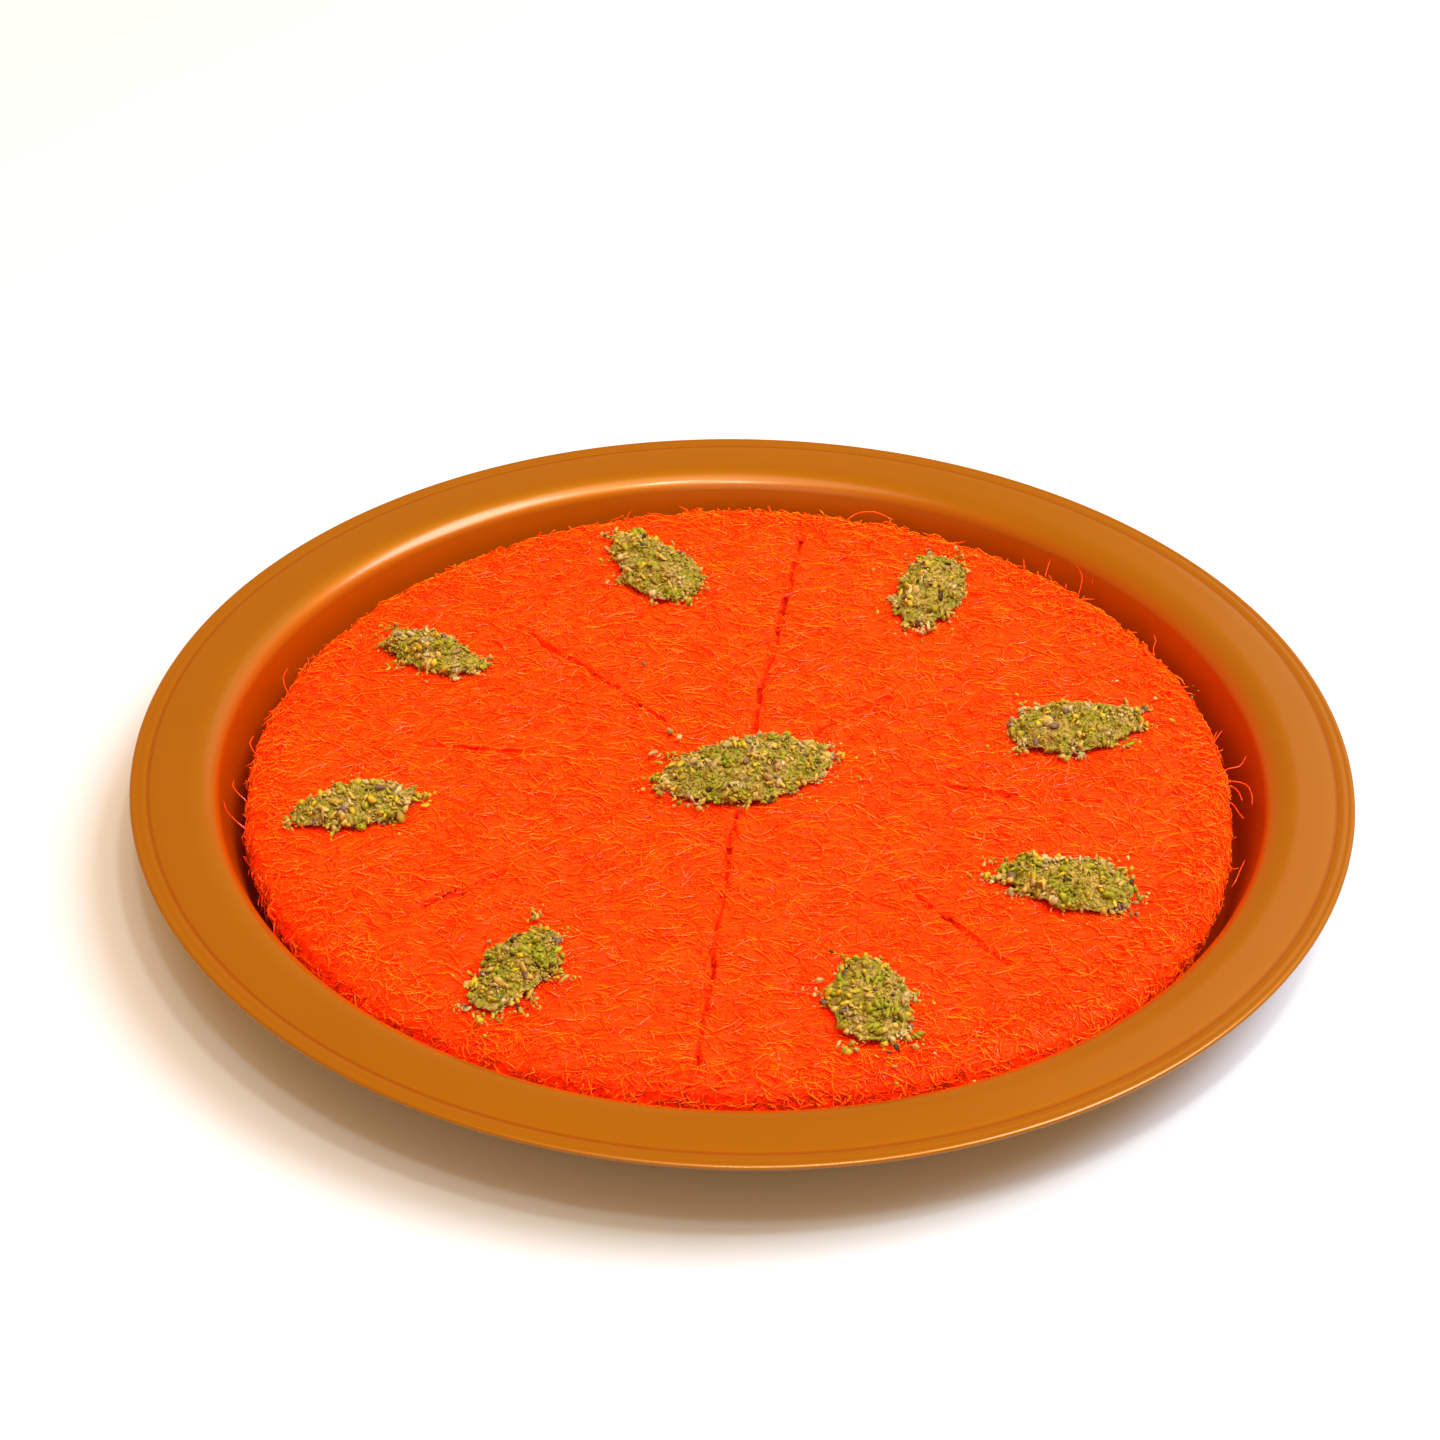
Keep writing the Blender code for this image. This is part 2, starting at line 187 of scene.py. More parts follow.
# tone, count, band of distances from the middle over the skin, mean lift, its spread and height of the
# waves in millimetres, share cut at scores, wildness, share of shreds with one end up
SHRED_LAYERS = {
    "shreds_deep": ("deep", 3600, (0.0, 160.0), -0.26, 0.1, 0.1, 0.99, 0.15, 0.0),
    "shreds_low": ("shred", 8400, (0.0, 159.0), -0.14, 0.1, 0.12, 0.97, 0.1, 0.0),
    "shreds_high": ("shred", 9100, (0.0, 158.0), -0.02, 0.1, 0.15, 0.95, 0.05, 0.01),
    "shreds_pale": ("pale", 2600, (0.0, 156.0), 0.06, 0.1, 0.22, 0.9, 0.1, 0.04),
    "shreds_edge": ("edge", 5600, (134.0, 160.0), 0.5, 0.35, 0.35, 0.0, 0.5, 0.08),
}
# single shreds that stick out of the cake's edge, as points in millimetres
STRAY_SHREDS = (
    ((141.5, 11.5, 22.5), (142.7, 14.3, 22.9), (144.2, 17.2, 23.2), (145.4, 19.1, 23.3)),
    ((143.5, -1.5, 21.8), (144.6, 0.1, 22.8), (148.6, 1.3, 23.3), (151.0, 5.9, 23.6)),
    (
        (143.0, -7.6, 22.0),
        (144.9, -6.2, 23.0),
        (149.2, -8.4, 23.6),
        (150.4, -13.0, 23.2),
        (150.0, -17.0, 22.6),
    ),
    ((142.8, -9.6, 22.1), (144.6, -8.5, 23.0), (146.6, -11.7, 23.3), (147.2, -15.6, 23.0)),
    ((142.6, -15.8, 22.1), (144.2, -17.3, 23.0), (145.4, -21.5, 23.2), (146.6, -24.4, 23.0)),
    ((139.4, -54.6, 21.5), (140.6, -53.6, 22.8), (142.5, -48.9, 23.3), (144.4, -44.3, 23.2)),
    ((91.0, 106.0, 22.6), (91.1, 108.0, 23.2), (91.3, 111.0, 23.6), (91.4, 113.2, 24.2)),
    ((98.0, 105.0, 22.5), (98.4, 107.0, 23.1), (99.3, 110.5, 23.5), (100.0, 113.0, 24.2)),
    ((107.8, 94.4, 22.2), (109.2, 99.5, 23.2), (109.8, 105.0, 23.6), (108.2, 110.0, 24.4)),
    ((113.2, 103.0, 21.0), (113.6, 104.3, 22.6), (114.2, 105.2, 24.0), (114.3, 105.9, 25.4)),
    ((129.0, 61.6, 22.2), (129.3, 64.6, 22.9), (130.2, 67.4, 23.3), (129.8, 69.9, 23.9)),
    ((33.5, 142.0, 20.0), (37.5, 144.4, 21.4), (43.2, 143.4, 22.6), (49.2, 140.6, 21.4)),
    ((-138.6, 28.4, 22.3), (-141.0, 33.0, 23.0), (-142.4, 38.0, 23.4), (-141.6, 42.8, 23.6)),
    ((-144.0, -1.6, 21.4), (-146.4, 0.6, 22.6), (-147.8, 4.0, 23.0), (-147.2, 7.2, 23.2)),
    ((-145.0, -22.0, 20.4), (-147.4, -20.6, 22.0), (-149.4, -18.4, 23.0), (-149.8, -15.6, 23.4)),
    ((-143.4, -35.0, 20.0), (-146.4, -33.4, 22.0), (-149.6, -30.0, 23.0), (-151.2, -25.6, 23.4)),
)

# Heaps and the nuts on them.
HEAP_NODES = sorted(name for name in frame["nodes"] if name.startswith("pistachio"))
MEAL_VOXEL = 0.75 * MM
MEAL_SMOOTHING = 12
SLUMP = (6.0 * MM, 1, 4.4 * MM, 0.56)
CRUMBLE = (1.5 * MM, 2, 2.2 * MM, 0.75)
# colour, share of chips and share of crumbs, from those of the green drifts to those of the sandy ones
KERNEL_TONES = {
    "dark": ("#342418", 0.015, 0.005),
    "lime": ("#767E10", 0.19, 0.16),
    "olive": ("#7E7422", 0.22, 0.27),
    "yellow": ("#988C1A", 0.15, 0.12),
    "sand": ("#9A8840", 0.21, 0.26),
    "skin": ("#5C4A40", 0.035, 0.015),
    "tan": ("#84764C", 0.11, 0.12),
    "cream": ("#9C9464", 0.07, 0.05),
}
HIGHEST_GRAIN = CAD_BOX[1][2] - 0.1 * MM
# width and height of each modelled grain against its length, and its flat cuts
CHIP_SHAPES = (
    (0.85, 0.7, 4), (0.75, 0.55, 3), (0.9, 0.45, 4), (0.6, 0.5, 4),
    (0.7, 0.55, 4), (0.5, 0.45, 3), (0.8, 0.3, 3), (0.7, 0.65, 5),
)
# how far from a lump's middle its cuts lie, its length once cut, and the random stretch of each copy
CUT_DEPTHS = (0.1, 0.3)
CHIP_LENGTH = 1.15
STRETCH_RANGE = (0.75, 1.25)
# chips are longer than this; the crumbs below it use the first few shapes
SHORTEST_CHIP = 1.4 * MM
CRUMB_SHAPES = 4
# on a heap: count, then shortest length and range of lengths in millimetres and rarity of the long ones,
# then the share of its length that a grain is lifted by
HEAP_LAYERS = ((230, (1.2, 2.9, 1.7), 0.2), (420, (0.5, 0.9, 1.5), 0.15))
# round a heap: count, lengths in the same way, mean distance from its foot in millimetres
FOOT_LAYERS = ((190, (0.5, 2.9, 2.2), 1.3), (110, (0.5, 1.5, 2.2), 3.2))
# the middle heap holds this many times a small one's grains
CENTRE_SHARE = 2.0
MOUND_SLOPE = -0.2
FOOT_SLOPE = -0.3
FOOT_BAND = 0.9 * MM
FOOT_TRIES = 14
# how far the grains round a heap reach from drift to drift, against the mean distance, and its limits
FOOT_REACH = 0.9
FOOT_SWING = 2.0
FOOT_LIMITS = (0.2, 2.4)
GRAIN_LIFT = 0.2
FAN_GRAINS = 14
FAN_SPREAD = 1.5 * MM
FAN_LENGTHS = (0.6, 2.6, 1.6)
FAN_LIFT = (0.2, 0.6)
DRIFT_WIDTH = 6.0
DRIFT_PULL = 1.7
# where grains have slid off the heaps in small fans, in millimetres
HEAP_FANS = (
    (-17.1, -22.4), (-12.1, -24.2), (0.2, -23.4), (28.0, 1.3), (-23.2, -14.3), (121.8, 19.7),
    (119.5, 27.0), (99.9, 4.1), (83.4, 7.1), (111.7, -63.6), (71.9, -47.6), (106.4, -69.1),
    (47.0, 88.2), (51.0, 73.8), (57.3, 70.5), (-46.3, 123.2), (-14.5, 98.0), (-18.4, 84.8),
    (-94.3, -23.4), (-130.3, -36.6), (-56.4, -77.2), (-74.2, -115.2), (-69.0, -119.5), (-58.1, -115.6),
    (-47.7, -102.1), (22.4, -105.8), (48.0, -108.3), (44.3, -122.6), (29.9, -128.2), (-80.4, 47.4),
    (-85.0, 50.0), (-113.0, 66.0), (-107.5, 44.3), (70.5, 115.5),
)
# single grains away from the heaps: place and length in millimetres, tone
SINGLE_GRAINS = (
    (-21.7, 13.1, 3.6, "tan"),
    (-18.9, 9.6, 3.0, "cream"),
    (-31.5, 48.6, 2.6, "skin"),
    (41.6, 105.5, 2.0, "olive"),
    (52.8, -109.3, 1.6, "yellow"),
    (130.7, 23.3, 2.4, "yellow"),
    (115.8, 44.2, 1.8, "cream"),
    (110.1, 64.5, 1.8, "yellow"),
    (-25.4, -3.0, 3.4, "yellow"),
    (-26.6, 1.0, 3.2, "cream"),
    (-14.5, -17.0, 3.0, "cream"),
    (-9.0, -16.4, 3.8, "tan"),
    (34.0, 1.4, 1.8, "yellow"),
    (36.0, -3.6, 1.5, "yellow"),
)

# Camera: where it stands was worked out from the ellipses of the rim, the crease and the cake.
LENS = 75.0
SENSOR = 36.0
CAMERA_DISTANCE = 4.9583 * RIM_RADIUS
CAMERA_ELEVATION = 35.913
CAMERA_AIM_Z = 29.2 * MM
CAMERA_PAN = 0.438
CAMERA_TILT = 0.432
CAMERA_ROLL = -1.086

# Lights: azimuth and elevation in degrees, distance and size in metres, power in watts, colour.
LIGHTS = {
    "window": (4.0, 57.0, 3.6, (1.85, 1.7), 158.0, (0.92, 0.98, 1.06)),
    "ceiling": (-60.0, 76.0, 3.3, (2.6, 2.4), 52.0, (0.97, 0.93, 0.86)),
    "lamp_right": (-56.2, 71.3, 2.2, (0.14, 0.14), 11.0, (1.0, 0.97, 0.78)),
    "lamp_front": (-85.4, 65.6, 2.2, (0.14, 0.14), 8.0, (1.0, 0.97, 0.78)),
    "wall": (58.0, 34.0, 2.4, (1.3, 1.3), 3.6, (0.94, 0.97, 0.8)),
    "front": (-95.0, 35.0, 2.2, (1.4, 1.2), 6.5, (1.0, 0.95, 0.8)),
}
WORLD_COLOUR = (1.0, 0.41, 0.09, 1.0)
WORLD_STRENGTH = 1.62
FLOOR_SIDE = 12.0


def srgb(code):
    """Linear colour of an sRGB hex value."""
    parts = [int(code[start : start + 2], 16) / 255.0 for start in (1, 3, 5)]
    return tuple(part / 12.92 if part <= 0.04045 else ((part + 0.055) / 1.055) ** 2.4 for part in parts)


def add_node(tree, kind, links=None, **settings):
    """Adds a shader node, sets its settings, and fills or links its inputs."""
    node = tree.nodes.new("ShaderNode" + kind)
    for name, value in settings.items():
        setattr(node, name, value)
    for name, value in (links or {}).items():
        if isinstance(value, bpy.types.NodeSocket):
            tree.links.new(value, node.inputs[name])
        else:
            node.inputs[name].default_value = value
    return node


def new_material(name, constants):
    """A material with its shader's constant sockets set."""
    material = bpy.data.materials.new(name)
    material.use_nodes = True
    tree = material.node_tree
    shader = tree.nodes["Principled BSDF"]
    for socket, value in constants.items():
        shader.inputs[socket].default_value = value
    return material, tree, shader


def mottled(tree, place, size, detail, limits, low, high):
    """A colour that goes from low to high in soft patches of this size in millimetres."""
    patches = add_node(tree, "TexNoise", {"Vector": place, "Scale": millimetres(size), "Detail": detail})
    between = {"From Min": limits[0], "From Max": limits[1]}
    share = add_node(tree, "MapRange", {"Value": patches.outputs["Fac"], **between})
    mix = add_node(tree, "Mix", {"Factor": share.outputs["Result"], 6: low, 7: high}, data_type="RGBA")
    return mix.outputs[2]


def rgba(colour):
    return (*colour, 1.0)


def millimetres(size):
    """Texture scale at which one unit of a pattern is this many millimetres."""
    return 1.0 / (size * MM)


class KunafaColours(bpy.types.PropertyGroup):
    lacquer: FloatVectorProperty(
        name="Lacquer",
        description="Gold-brown lacquer of the tray",
        subtype="COLOR",
        default=srgb("#7E5100"),
    )
    # painted reflection: the orange-red of the cake's glow, painted on the tray's inner wall
    film: FloatVectorProperty(
        name="Painted reflection",
        description="Orange-red of the cake's reflection painted on the tray's wall",
        subtype="COLOR",
        default=srgb("#A93900"),
    )
    shred: FloatVectorProperty(
        name="Shreds",
        description="Orange of the dyed pastry shreds",
        subtype="COLOR",
        default=srgb("#FF3201"),
    )
    # painted highlight: paler orange for the top shreds, the edge shreds, the stray shreds and the tops of
    # the pressed threads
    pale_shred: FloatVectorProperty(
        name="Pale shreds",
        description="Paler orange painted on the topmost shreds as highlight",
        subtype="COLOR",
        default=srgb("#FF3A04"),
    )
    # painted shade: deeper red for the lowest shreds and for the hollows of the pressed threads
    deep_shred: FloatVectorProperty(
        name="Deep shreds",
        description="Deeper red painted on the lowest shreds as shade",
        subtype="COLOR",
        default=srgb("#FD2A00"),
    )


class KunafaSizes(bpy.types.PropertyGroup):
    shred_thickness: FloatProperty(
        name="Shred thickness",
        description="Mean thickness of a pastry shred",
        default=0.48 * MM,
        subtype="DISTANCE",
    )
    shred_length: FloatProperty(
        name="Shred length",
        description="Mean length of shred that lies in the surface",
        default=6.8 * MM,
        subtype="DISTANCE",
    )
    tray_segments: IntProperty(
        name="Tray segments",
        description="Sides of the turned tray",
        default=256,
    )
    sun_azimuth: FloatProperty(
        name="Light azimuth",
        description="Direction of the main soft light, from the right towards the back",
        default=math.radians(LIGHTS["window"][0]),
        subtype="ANGLE",
    )


def clear_selection():
    if bpy.context.mode != "OBJECT":
        bpy.ops.object.mode_set(mode="OBJECT")
    bpy.ops.object.select_all(action="DESELECT")


def only_select(piece):
    clear_selection()
    piece.select_set(True)
    bpy.context.view_layer.objects.active = piece


def apply_modifier(piece, kind, **settings):
    """Adds a modifier by hand and applies it."""
    only_select(piece)
    modifier = piece.modifiers.new(kind.lower(), kind)
    for name, value in settings.items():
        setattr(modifier, name, value)
    bpy.ops.object.modifier_apply(modifier=modifier.name)


def edit_whole(operator, **settings):
    """Runs an edit-mode operator on the whole of the active piece."""
    bpy.ops.object.mode_set(mode="EDIT")
    bpy.ops.mesh.select_all(action="SELECT")
    operator(**settings)
    bpy.ops.object.mode_set(mode="OBJECT")


def roughen(piece, pattern, size, detail, strength, middle):
    """Moves a piece's surface in and out by a pattern of clouds."""
    texture = bpy.data.textures.new(f"{pattern}_{piece.name}", "CLOUDS")
    texture.noise_scale = size
    texture.noise_depth = detail
    apply_modifier(
        piece, "DISPLACE", texture=texture, texture_coords="LOCAL", strength=strength, mid_level=middle
    )


def smooth(piece):
    only_select(piece)
    bpy.ops.object.shade_smooth()


def vertex_vectors(mesh, kind="co"):
    """Places or normals of a mesh's vertices, as rows."""
    values = np.empty(len(mesh.vertices) * 3)
    mesh.vertices.foreach_get(kind, values)
    return values.reshape(-1, 3)


def triangle_corners(mesh):
    """Vertex numbers of a mesh's triangles, as rows."""
    mesh.calc_loop_triangles()
    triangles = np.empty(len(mesh.loop_triangles) * 3, dtype=np.int64)
    mesh.loop_triangles.foreach_get("vertices", triangles)
    return triangles.reshape(-1, 3)


def mark_vertices(mesh, name, share):
    """Keeps a share at each vertex, for a material to read."""
    mark = mesh.attributes.new(name, "FLOAT", "POINT")
    mark.data.foreach_set("value", share.astype(np.float32))


def dress(piece, material):
    piece.data.materials.clear()
    piece.data.materials.append(material)
    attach(piece, "root")


def arc(centre, radii, start, end, steps):
    """Points of an elliptical arc in the profile's plane, with angles in degrees from outwards to up."""
    points = []
    for step in range(steps + 1):
        angle = math.radians(start + (end - start) * step / steps)
        points.append((centre[0] + radii[0] * math.cos(angle), centre[1] + radii[1] * math.sin(angle)))
    return points


def sheet_face(offset, steps):
    """Profile of a face of the tray's sheet from floor to flange, offset out from the inner face."""
    lean = math.radians(WALL_LEAN)
    shoulder = (SHOULDER_RADIUS, FLANGE_Z - SHOULDER_DROP)
    corner_z = SHEET + CORNER_BEND
    # the angle on the ellipse at which its slope meets the wall's
    tangent = math.atan(math.tan(lean) * SHOULDER_DROP / SHOULDER_REACH)
    wall_top = (
        shoulder[0] - SHOULDER_REACH * math.cos(tangent),
        shoulder[1] + SHOULDER_DROP * math.sin(tangent),
    )
    wall_foot_z = corner_z - CORNER_BEND * math.sin(lean)
    wall_foot_r = wall_top[0] - (wall_top[1] - wall_foot_z) * math.tan(lean)
    corner = (wall_foot_r - CORNER_BEND * math.cos(lean), corner_z)
    outer_corner = CORNER_BEND + offset
    roll = (SHOULDER_REACH - offset, SHOULDER_DROP - offset)
    points = arc(corner, (outer_corner, outer_corner), -90.0, -WALL_LEAN, steps)
    points += arc(shoulder, roll, 180.0 - math.degrees(tangent), 90.0, steps)
    return points


def tray_profile():
    """Rings of the tray from the middle of its floor over the rim to the middle of its underside."""
    bead_half = 0.5 * (RIM_RADIUS - CREASE_RADIUS)
    bead = (RIM_RADIUS - bead_half, BEAD_MIDDLE_Z)
    crease_half = 0.5 * CREASE_WIDTH
    floor = [(radius * MM, SHEET) for radius in FLOOR_RINGS]
    rings = floor + sheet_face(0.0, 12)
    rings += [(radius * MM, FLANGE_Z) for radius in FLANGE_RINGS]
    rings.append((CREASE_RADIUS - crease_half, FLANGE_Z))
    rings.append((CREASE_RADIUS - 0.4 * crease_half, FLANGE_Z - 0.75 * CREASE_DEPTH))
    rings.append((CREASE_RADIUS, FLANGE_Z - CREASE_DEPTH))
    rings += [(radius * MM, height * MM) for radius, height in BEAD_FACE]
    rings += arc(bead, (bead_half, BEAD_LOWER_HALF), 0.0, -180.0 + BEAD_TUCK, 10)
    rings.append((CREASE_RADIUS - crease_half, FLANGE_Z - SHEET))
    rings += list(reversed(sheet_face(SHEET, 8)))
    rings += [(radius, 0.0) for radius, height in reversed(floor)]
    return rings


def close_ring(item, radius, height):
    """Fills the open ring at this radius and height with a fan."""
    bpy.ops.object.mode_set(mode="OBJECT")
    for vertex in item.data.vertices:
        reach = math.hypot(vertex.co.x, vertex.co.y)
        off = max(abs(reach - radius), abs(vertex.co.z - height))
        vertex.select = off < RING_TOLERANCE
    for edge in item.data.edges:
        edge.select = all(item.data.vertices[index].select for index in edge.vertices)
    bpy.ops.object.mode_set(mode="EDIT")
    bpy.ops.mesh.select_mode(type="EDGE")
    bpy.ops.mesh.edge_face_add()
    bpy.ops.mesh.poke()


def mark_painted_reflection(mesh):
    """Marks where the cake's red reflection is painted on the wall: on its inner side only, and less at the
    back.
    """
    places, normals = vertex_vectors(mesh), vertex_vectors(mesh, "normal")
    radius = np.linalg.norm(places[:, :2], axis=1)
    share = np.clip((PAINTED_REFLECTION_TO - radius) / (PAINTED_REFLECTION_TO - PAINTED_REFLECTION_FROM), 0.0, 1.0)
    share = share * share * (3.0 - 2.0 * share)
    back = (places[:, 1] - PAINTED_REFLECTION_THINS_FROM_Y) / (PAINTED_REFLECTION_THINS_TO_Y - PAINTED_REFLECTION_THINS_FROM_Y)
    share *= 1.0 - (1.0 - PAINTED_REFLECTION_AT_BACK) * np.clip(back, 0.0, 1.0)
    share[normals[:, 2] < 0.0] = 0.0
    mark_vertices(mesh, "film", share)


class KUNAFA_OT_tray(bpy.types.Operator):
    """Turns the tray's sheet from ring to ring and lacquers it"""

    bl_idname = "kunafa.tray"
    bl_label = "Turn the tray"

    def execute(self, context):
        sizes = context.scene.kunafa_sizes
        rings = tray_profile()
        clear_selection()
        radius, height = rings[0]
        bpy.ops.mesh.primitive_circle_add(
            vertices=sizes.tray_segments, radius=radius, fill_type="NOTHING", location=(0.0, 0.0, height)
        )
        tray = context.object
        tray.name = tray.data.name = "lacquered_tray"
        bpy.ops.object.transform_apply(location=True, rotation=True, scale=True)
        bpy.ops.object.mode_set(mode="EDIT")
        bpy.ops.mesh.select_mode(type="EDGE")
        bpy.ops.mesh.select_all(action="SELECT")
        for next_radius, next_height in rings[1:]:
            bpy.ops.mesh.extrude_edges_move(
                TRANSFORM_OT_translate={"value": (0.0, 0.0, next_height - height)}
            )
            growth = next_radius / radius
            bpy.ops.transform.resize(value=(growth, growth, 1.0), center_override=(0.0, 0.0, 0.0))
            radius, height = next_radius, next_height
        close_ring(tray, *rings[0])
        close_ring(tray, *rings[-1])
        bpy.ops.mesh.select_all(action="SELECT")
        bpy.ops.mesh.normals_make_consistent(inside=False)
        bpy.ops.object.mode_set(mode="OBJECT")
        smooth(tray)
        mark_painted_reflection(tray.data)
        dress(tray, lacquered_aluminium(context.scene.kunafa_colours))
        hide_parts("tray")
        return {"FINISHED"}


def lacquered_aluminium(colours):
    """Spun aluminium under a baked gold lacquer.

    The eye sees a satin gold-brown with a broad soft sheen, a clearer gloss over it, and faint rings from
    spinning.
    """
    material, tree, shader = new_material(
        "gold_lacquered_aluminium",
        {
            "Metallic": 0.55,
            "Specular IOR Level": 0.0,
            "Coat Weight": 0.6,
            "Coat Roughness": 0.2,
            "Coat IOR": 1.5,
        },
    )
    place = add_node(tree, "TexCoord").outputs["Object"]
    lacquer = colours.lacquer
    clouds = add_node(tree, "TexNoise", {"Vector": place, "Scale": millimetres(45.0), "Detail": 3.0})
    duller = rgba([0.9 * part for part in lacquer])
    tone = add_node(
        tree, "Mix", {"Factor": clouds.outputs["Fac"], 6: rgba(lacquer), 7: duller}, data_type="RGBA"
    )
    flat = add_node(tree, "VectorMath", {0: place, 1: (1.0, 1.0, 0.0)}, operation="MULTIPLY")
    reach = add_node(tree, "VectorMath", {0: flat.outputs["Vector"]}, operation="LENGTH")
    radius = reach.outputs["Value"]
    # painted reflection: the wall beside the cake is tinted orange-red as the cake's glow in it
    film = add_node(tree, "Attribute", attribute_name="film").outputs["Fac"]
    with_painted_reflection = add_node(
        tree, "Mix", {"Factor": film, 6: tone.outputs[2], 7: rgba(colours.film)}, data_type="RGBA"
    )
    # painted shade: the crease is drawn darker, as the shade that falls in it
    crease = add_node(
        tree, "Math", {0: radius, 1: CREASE_RADIUS, 2: 0.45 * CREASE_WIDTH}, operation="COMPARE"
    )
    crease_shade = rgba((0.85 * lacquer[0], 0.62 * lacquer[1], 0.0))
    with_crease_shade = add_node(
        tree, "Mix", {"Factor": crease.outputs[0], 6: with_painted_reflection.outputs[2], 7: crease_shade}, data_type="RGBA"
    )
    # spinning leaves rings about 0.5 mm apart; they are drawn 1.5 mm apart so that they show
    rings = add_node(tree, "TexNoise", {"W": radius, "Scale": millimetres(1.5)}, noise_dimensions="1D")
    rough = add_node(tree, "MapRange", {"Value": rings.outputs["Fac"], "To Min": 0.42, "To Max": 0.5})
    # the baked lacquer has a faint orange peel
    peel = add_node(tree, "TexNoise", {"Vector": place, "Scale": millimetres(2.5), "Detail": 2.0})
    bump = add_node(tree, "Bump", {"Height": peel.outputs["Fac"], "Strength": 0.05, "Distance": 0.1 * MM})
    tree.links.new(with_crease_shade.outputs[2], shader.inputs["Base Color"])
    tree.links.new(rough.outputs["Result"], shader.inputs["Roughness"])
    tree.links.new(bump.outputs["Normal"], shader.inputs["Normal"])
    return material


def node_copy(node, name):
    """A joined copy of a solid's mesh, as an object of its own."""
    mesh = bpy.data.objects[node].data.copy()
    mesh.name = name
    piece = bpy.data.objects.new(name, mesh)
    bpy.context.scene.collection.objects.link(piece)
    only_select(piece)
    edit_whole(bpy.ops.mesh.remove_doubles, threshold=MERGE_REACH)
    return piece


def surface_of(piece):
    """A tree of the piece's faces, to find the nearest point of its surface."""
    mesh = piece.data
    corners = [vertex.co.copy() for vertex in mesh.vertices]
    faces = [tuple(face.vertices) for face in mesh.polygons]
    return BVHTree.FromPolygons(corners, faces)


class KUNAFA_OT_cake(bpy.types.Operator):
    """Roughens a copy of the cake's solid into pressed shreds"""

    bl_idname = "kunafa.cake"
    bl_label = "Press the cake"

    def execute(self, context):
        cake = node_copy("pastry", "pressed_cake")
        edit_whole(bpy.ops.mesh.subdivide, number_cuts=3, smoothness=0.0)
        roughen(cake, "tufts", *TUFTS)
        roughen(cake, "lumps", *LUMPS)
        tear_scores(cake.data)
        smooth(cake)
        dress(cake, pressed_pastry(context.scene.kunafa_colours))
        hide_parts("pastry")
        return {"FINISHED"}


def waves(run, azimuth, heights):
    """Sum of waves along a score, shifted with its azimuth."""
    total = 0.0
    for height, length, shift in heights:
        total = total + height * np.sin(run / length + shift * azimuth)
    return total


def torn_share(places):
    """How far places in plan lie inside the torn scores: 1 in a pit, 0.5 at its edge, 0 beside it.

    A score is a run of pits of changing width, which strays a little and leaves bridges of pastry.
    """
    share = np.zeros(places.shape[:-1])
    for azimuth, start, end, half in SCORES.values():
        along = np.array((math.cos(math.radians(azimuth)), math.sin(math.radians(azimuth))))
        across = np.array((-along[1], along[0]))
        offset = places - np.array(SCORE_CENTRE)
        side, run = offset @ across / MM, offset @ along / MM
        width = half * np.clip(0.5 + 0.5 * waves(run, azimuth, PIT_WIDTH_WAVES), 0.0, 1.3) * MM
        depth = 0.5 + (width - MM * np.abs(side - waves(run, azimuth, PIT_STRAY_WAVES))) / TORN_SOFTNESS
        depth = np.where((run > start) & (run < end) & (width > NARROWEST_PIT), depth, 0.0)
        share = np.maximum(share, np.clip(depth, 0.0, 1.0))
    return share


def tear_scores(mesh):
    """Lowers the cake's top in the torn scores, and marks them for the material."""
    places = vertex_vectors(mesh)
    torn = torn_share(places[:, :2])
    torn[places[:, 2] < CAKE_TOP - TORN_BAND] = 0.0
    places[:, 2] -= TORN_DEPTH * torn
    mesh.vertices.foreach_set("co", places.ravel())
    mark_vertices(mesh, "torn", torn)
    mesh.update()


# kataifi pastry full of syrup: light goes in and comes out a little further on, the red furthest
WET_PASTRY = {
    "IOR": 1.45,
    "Subsurface Weight": 0.8,
    "Subsurface Radius": (2.0, 0.6, 0.1),
    "Subsurface Scale": MM,
}


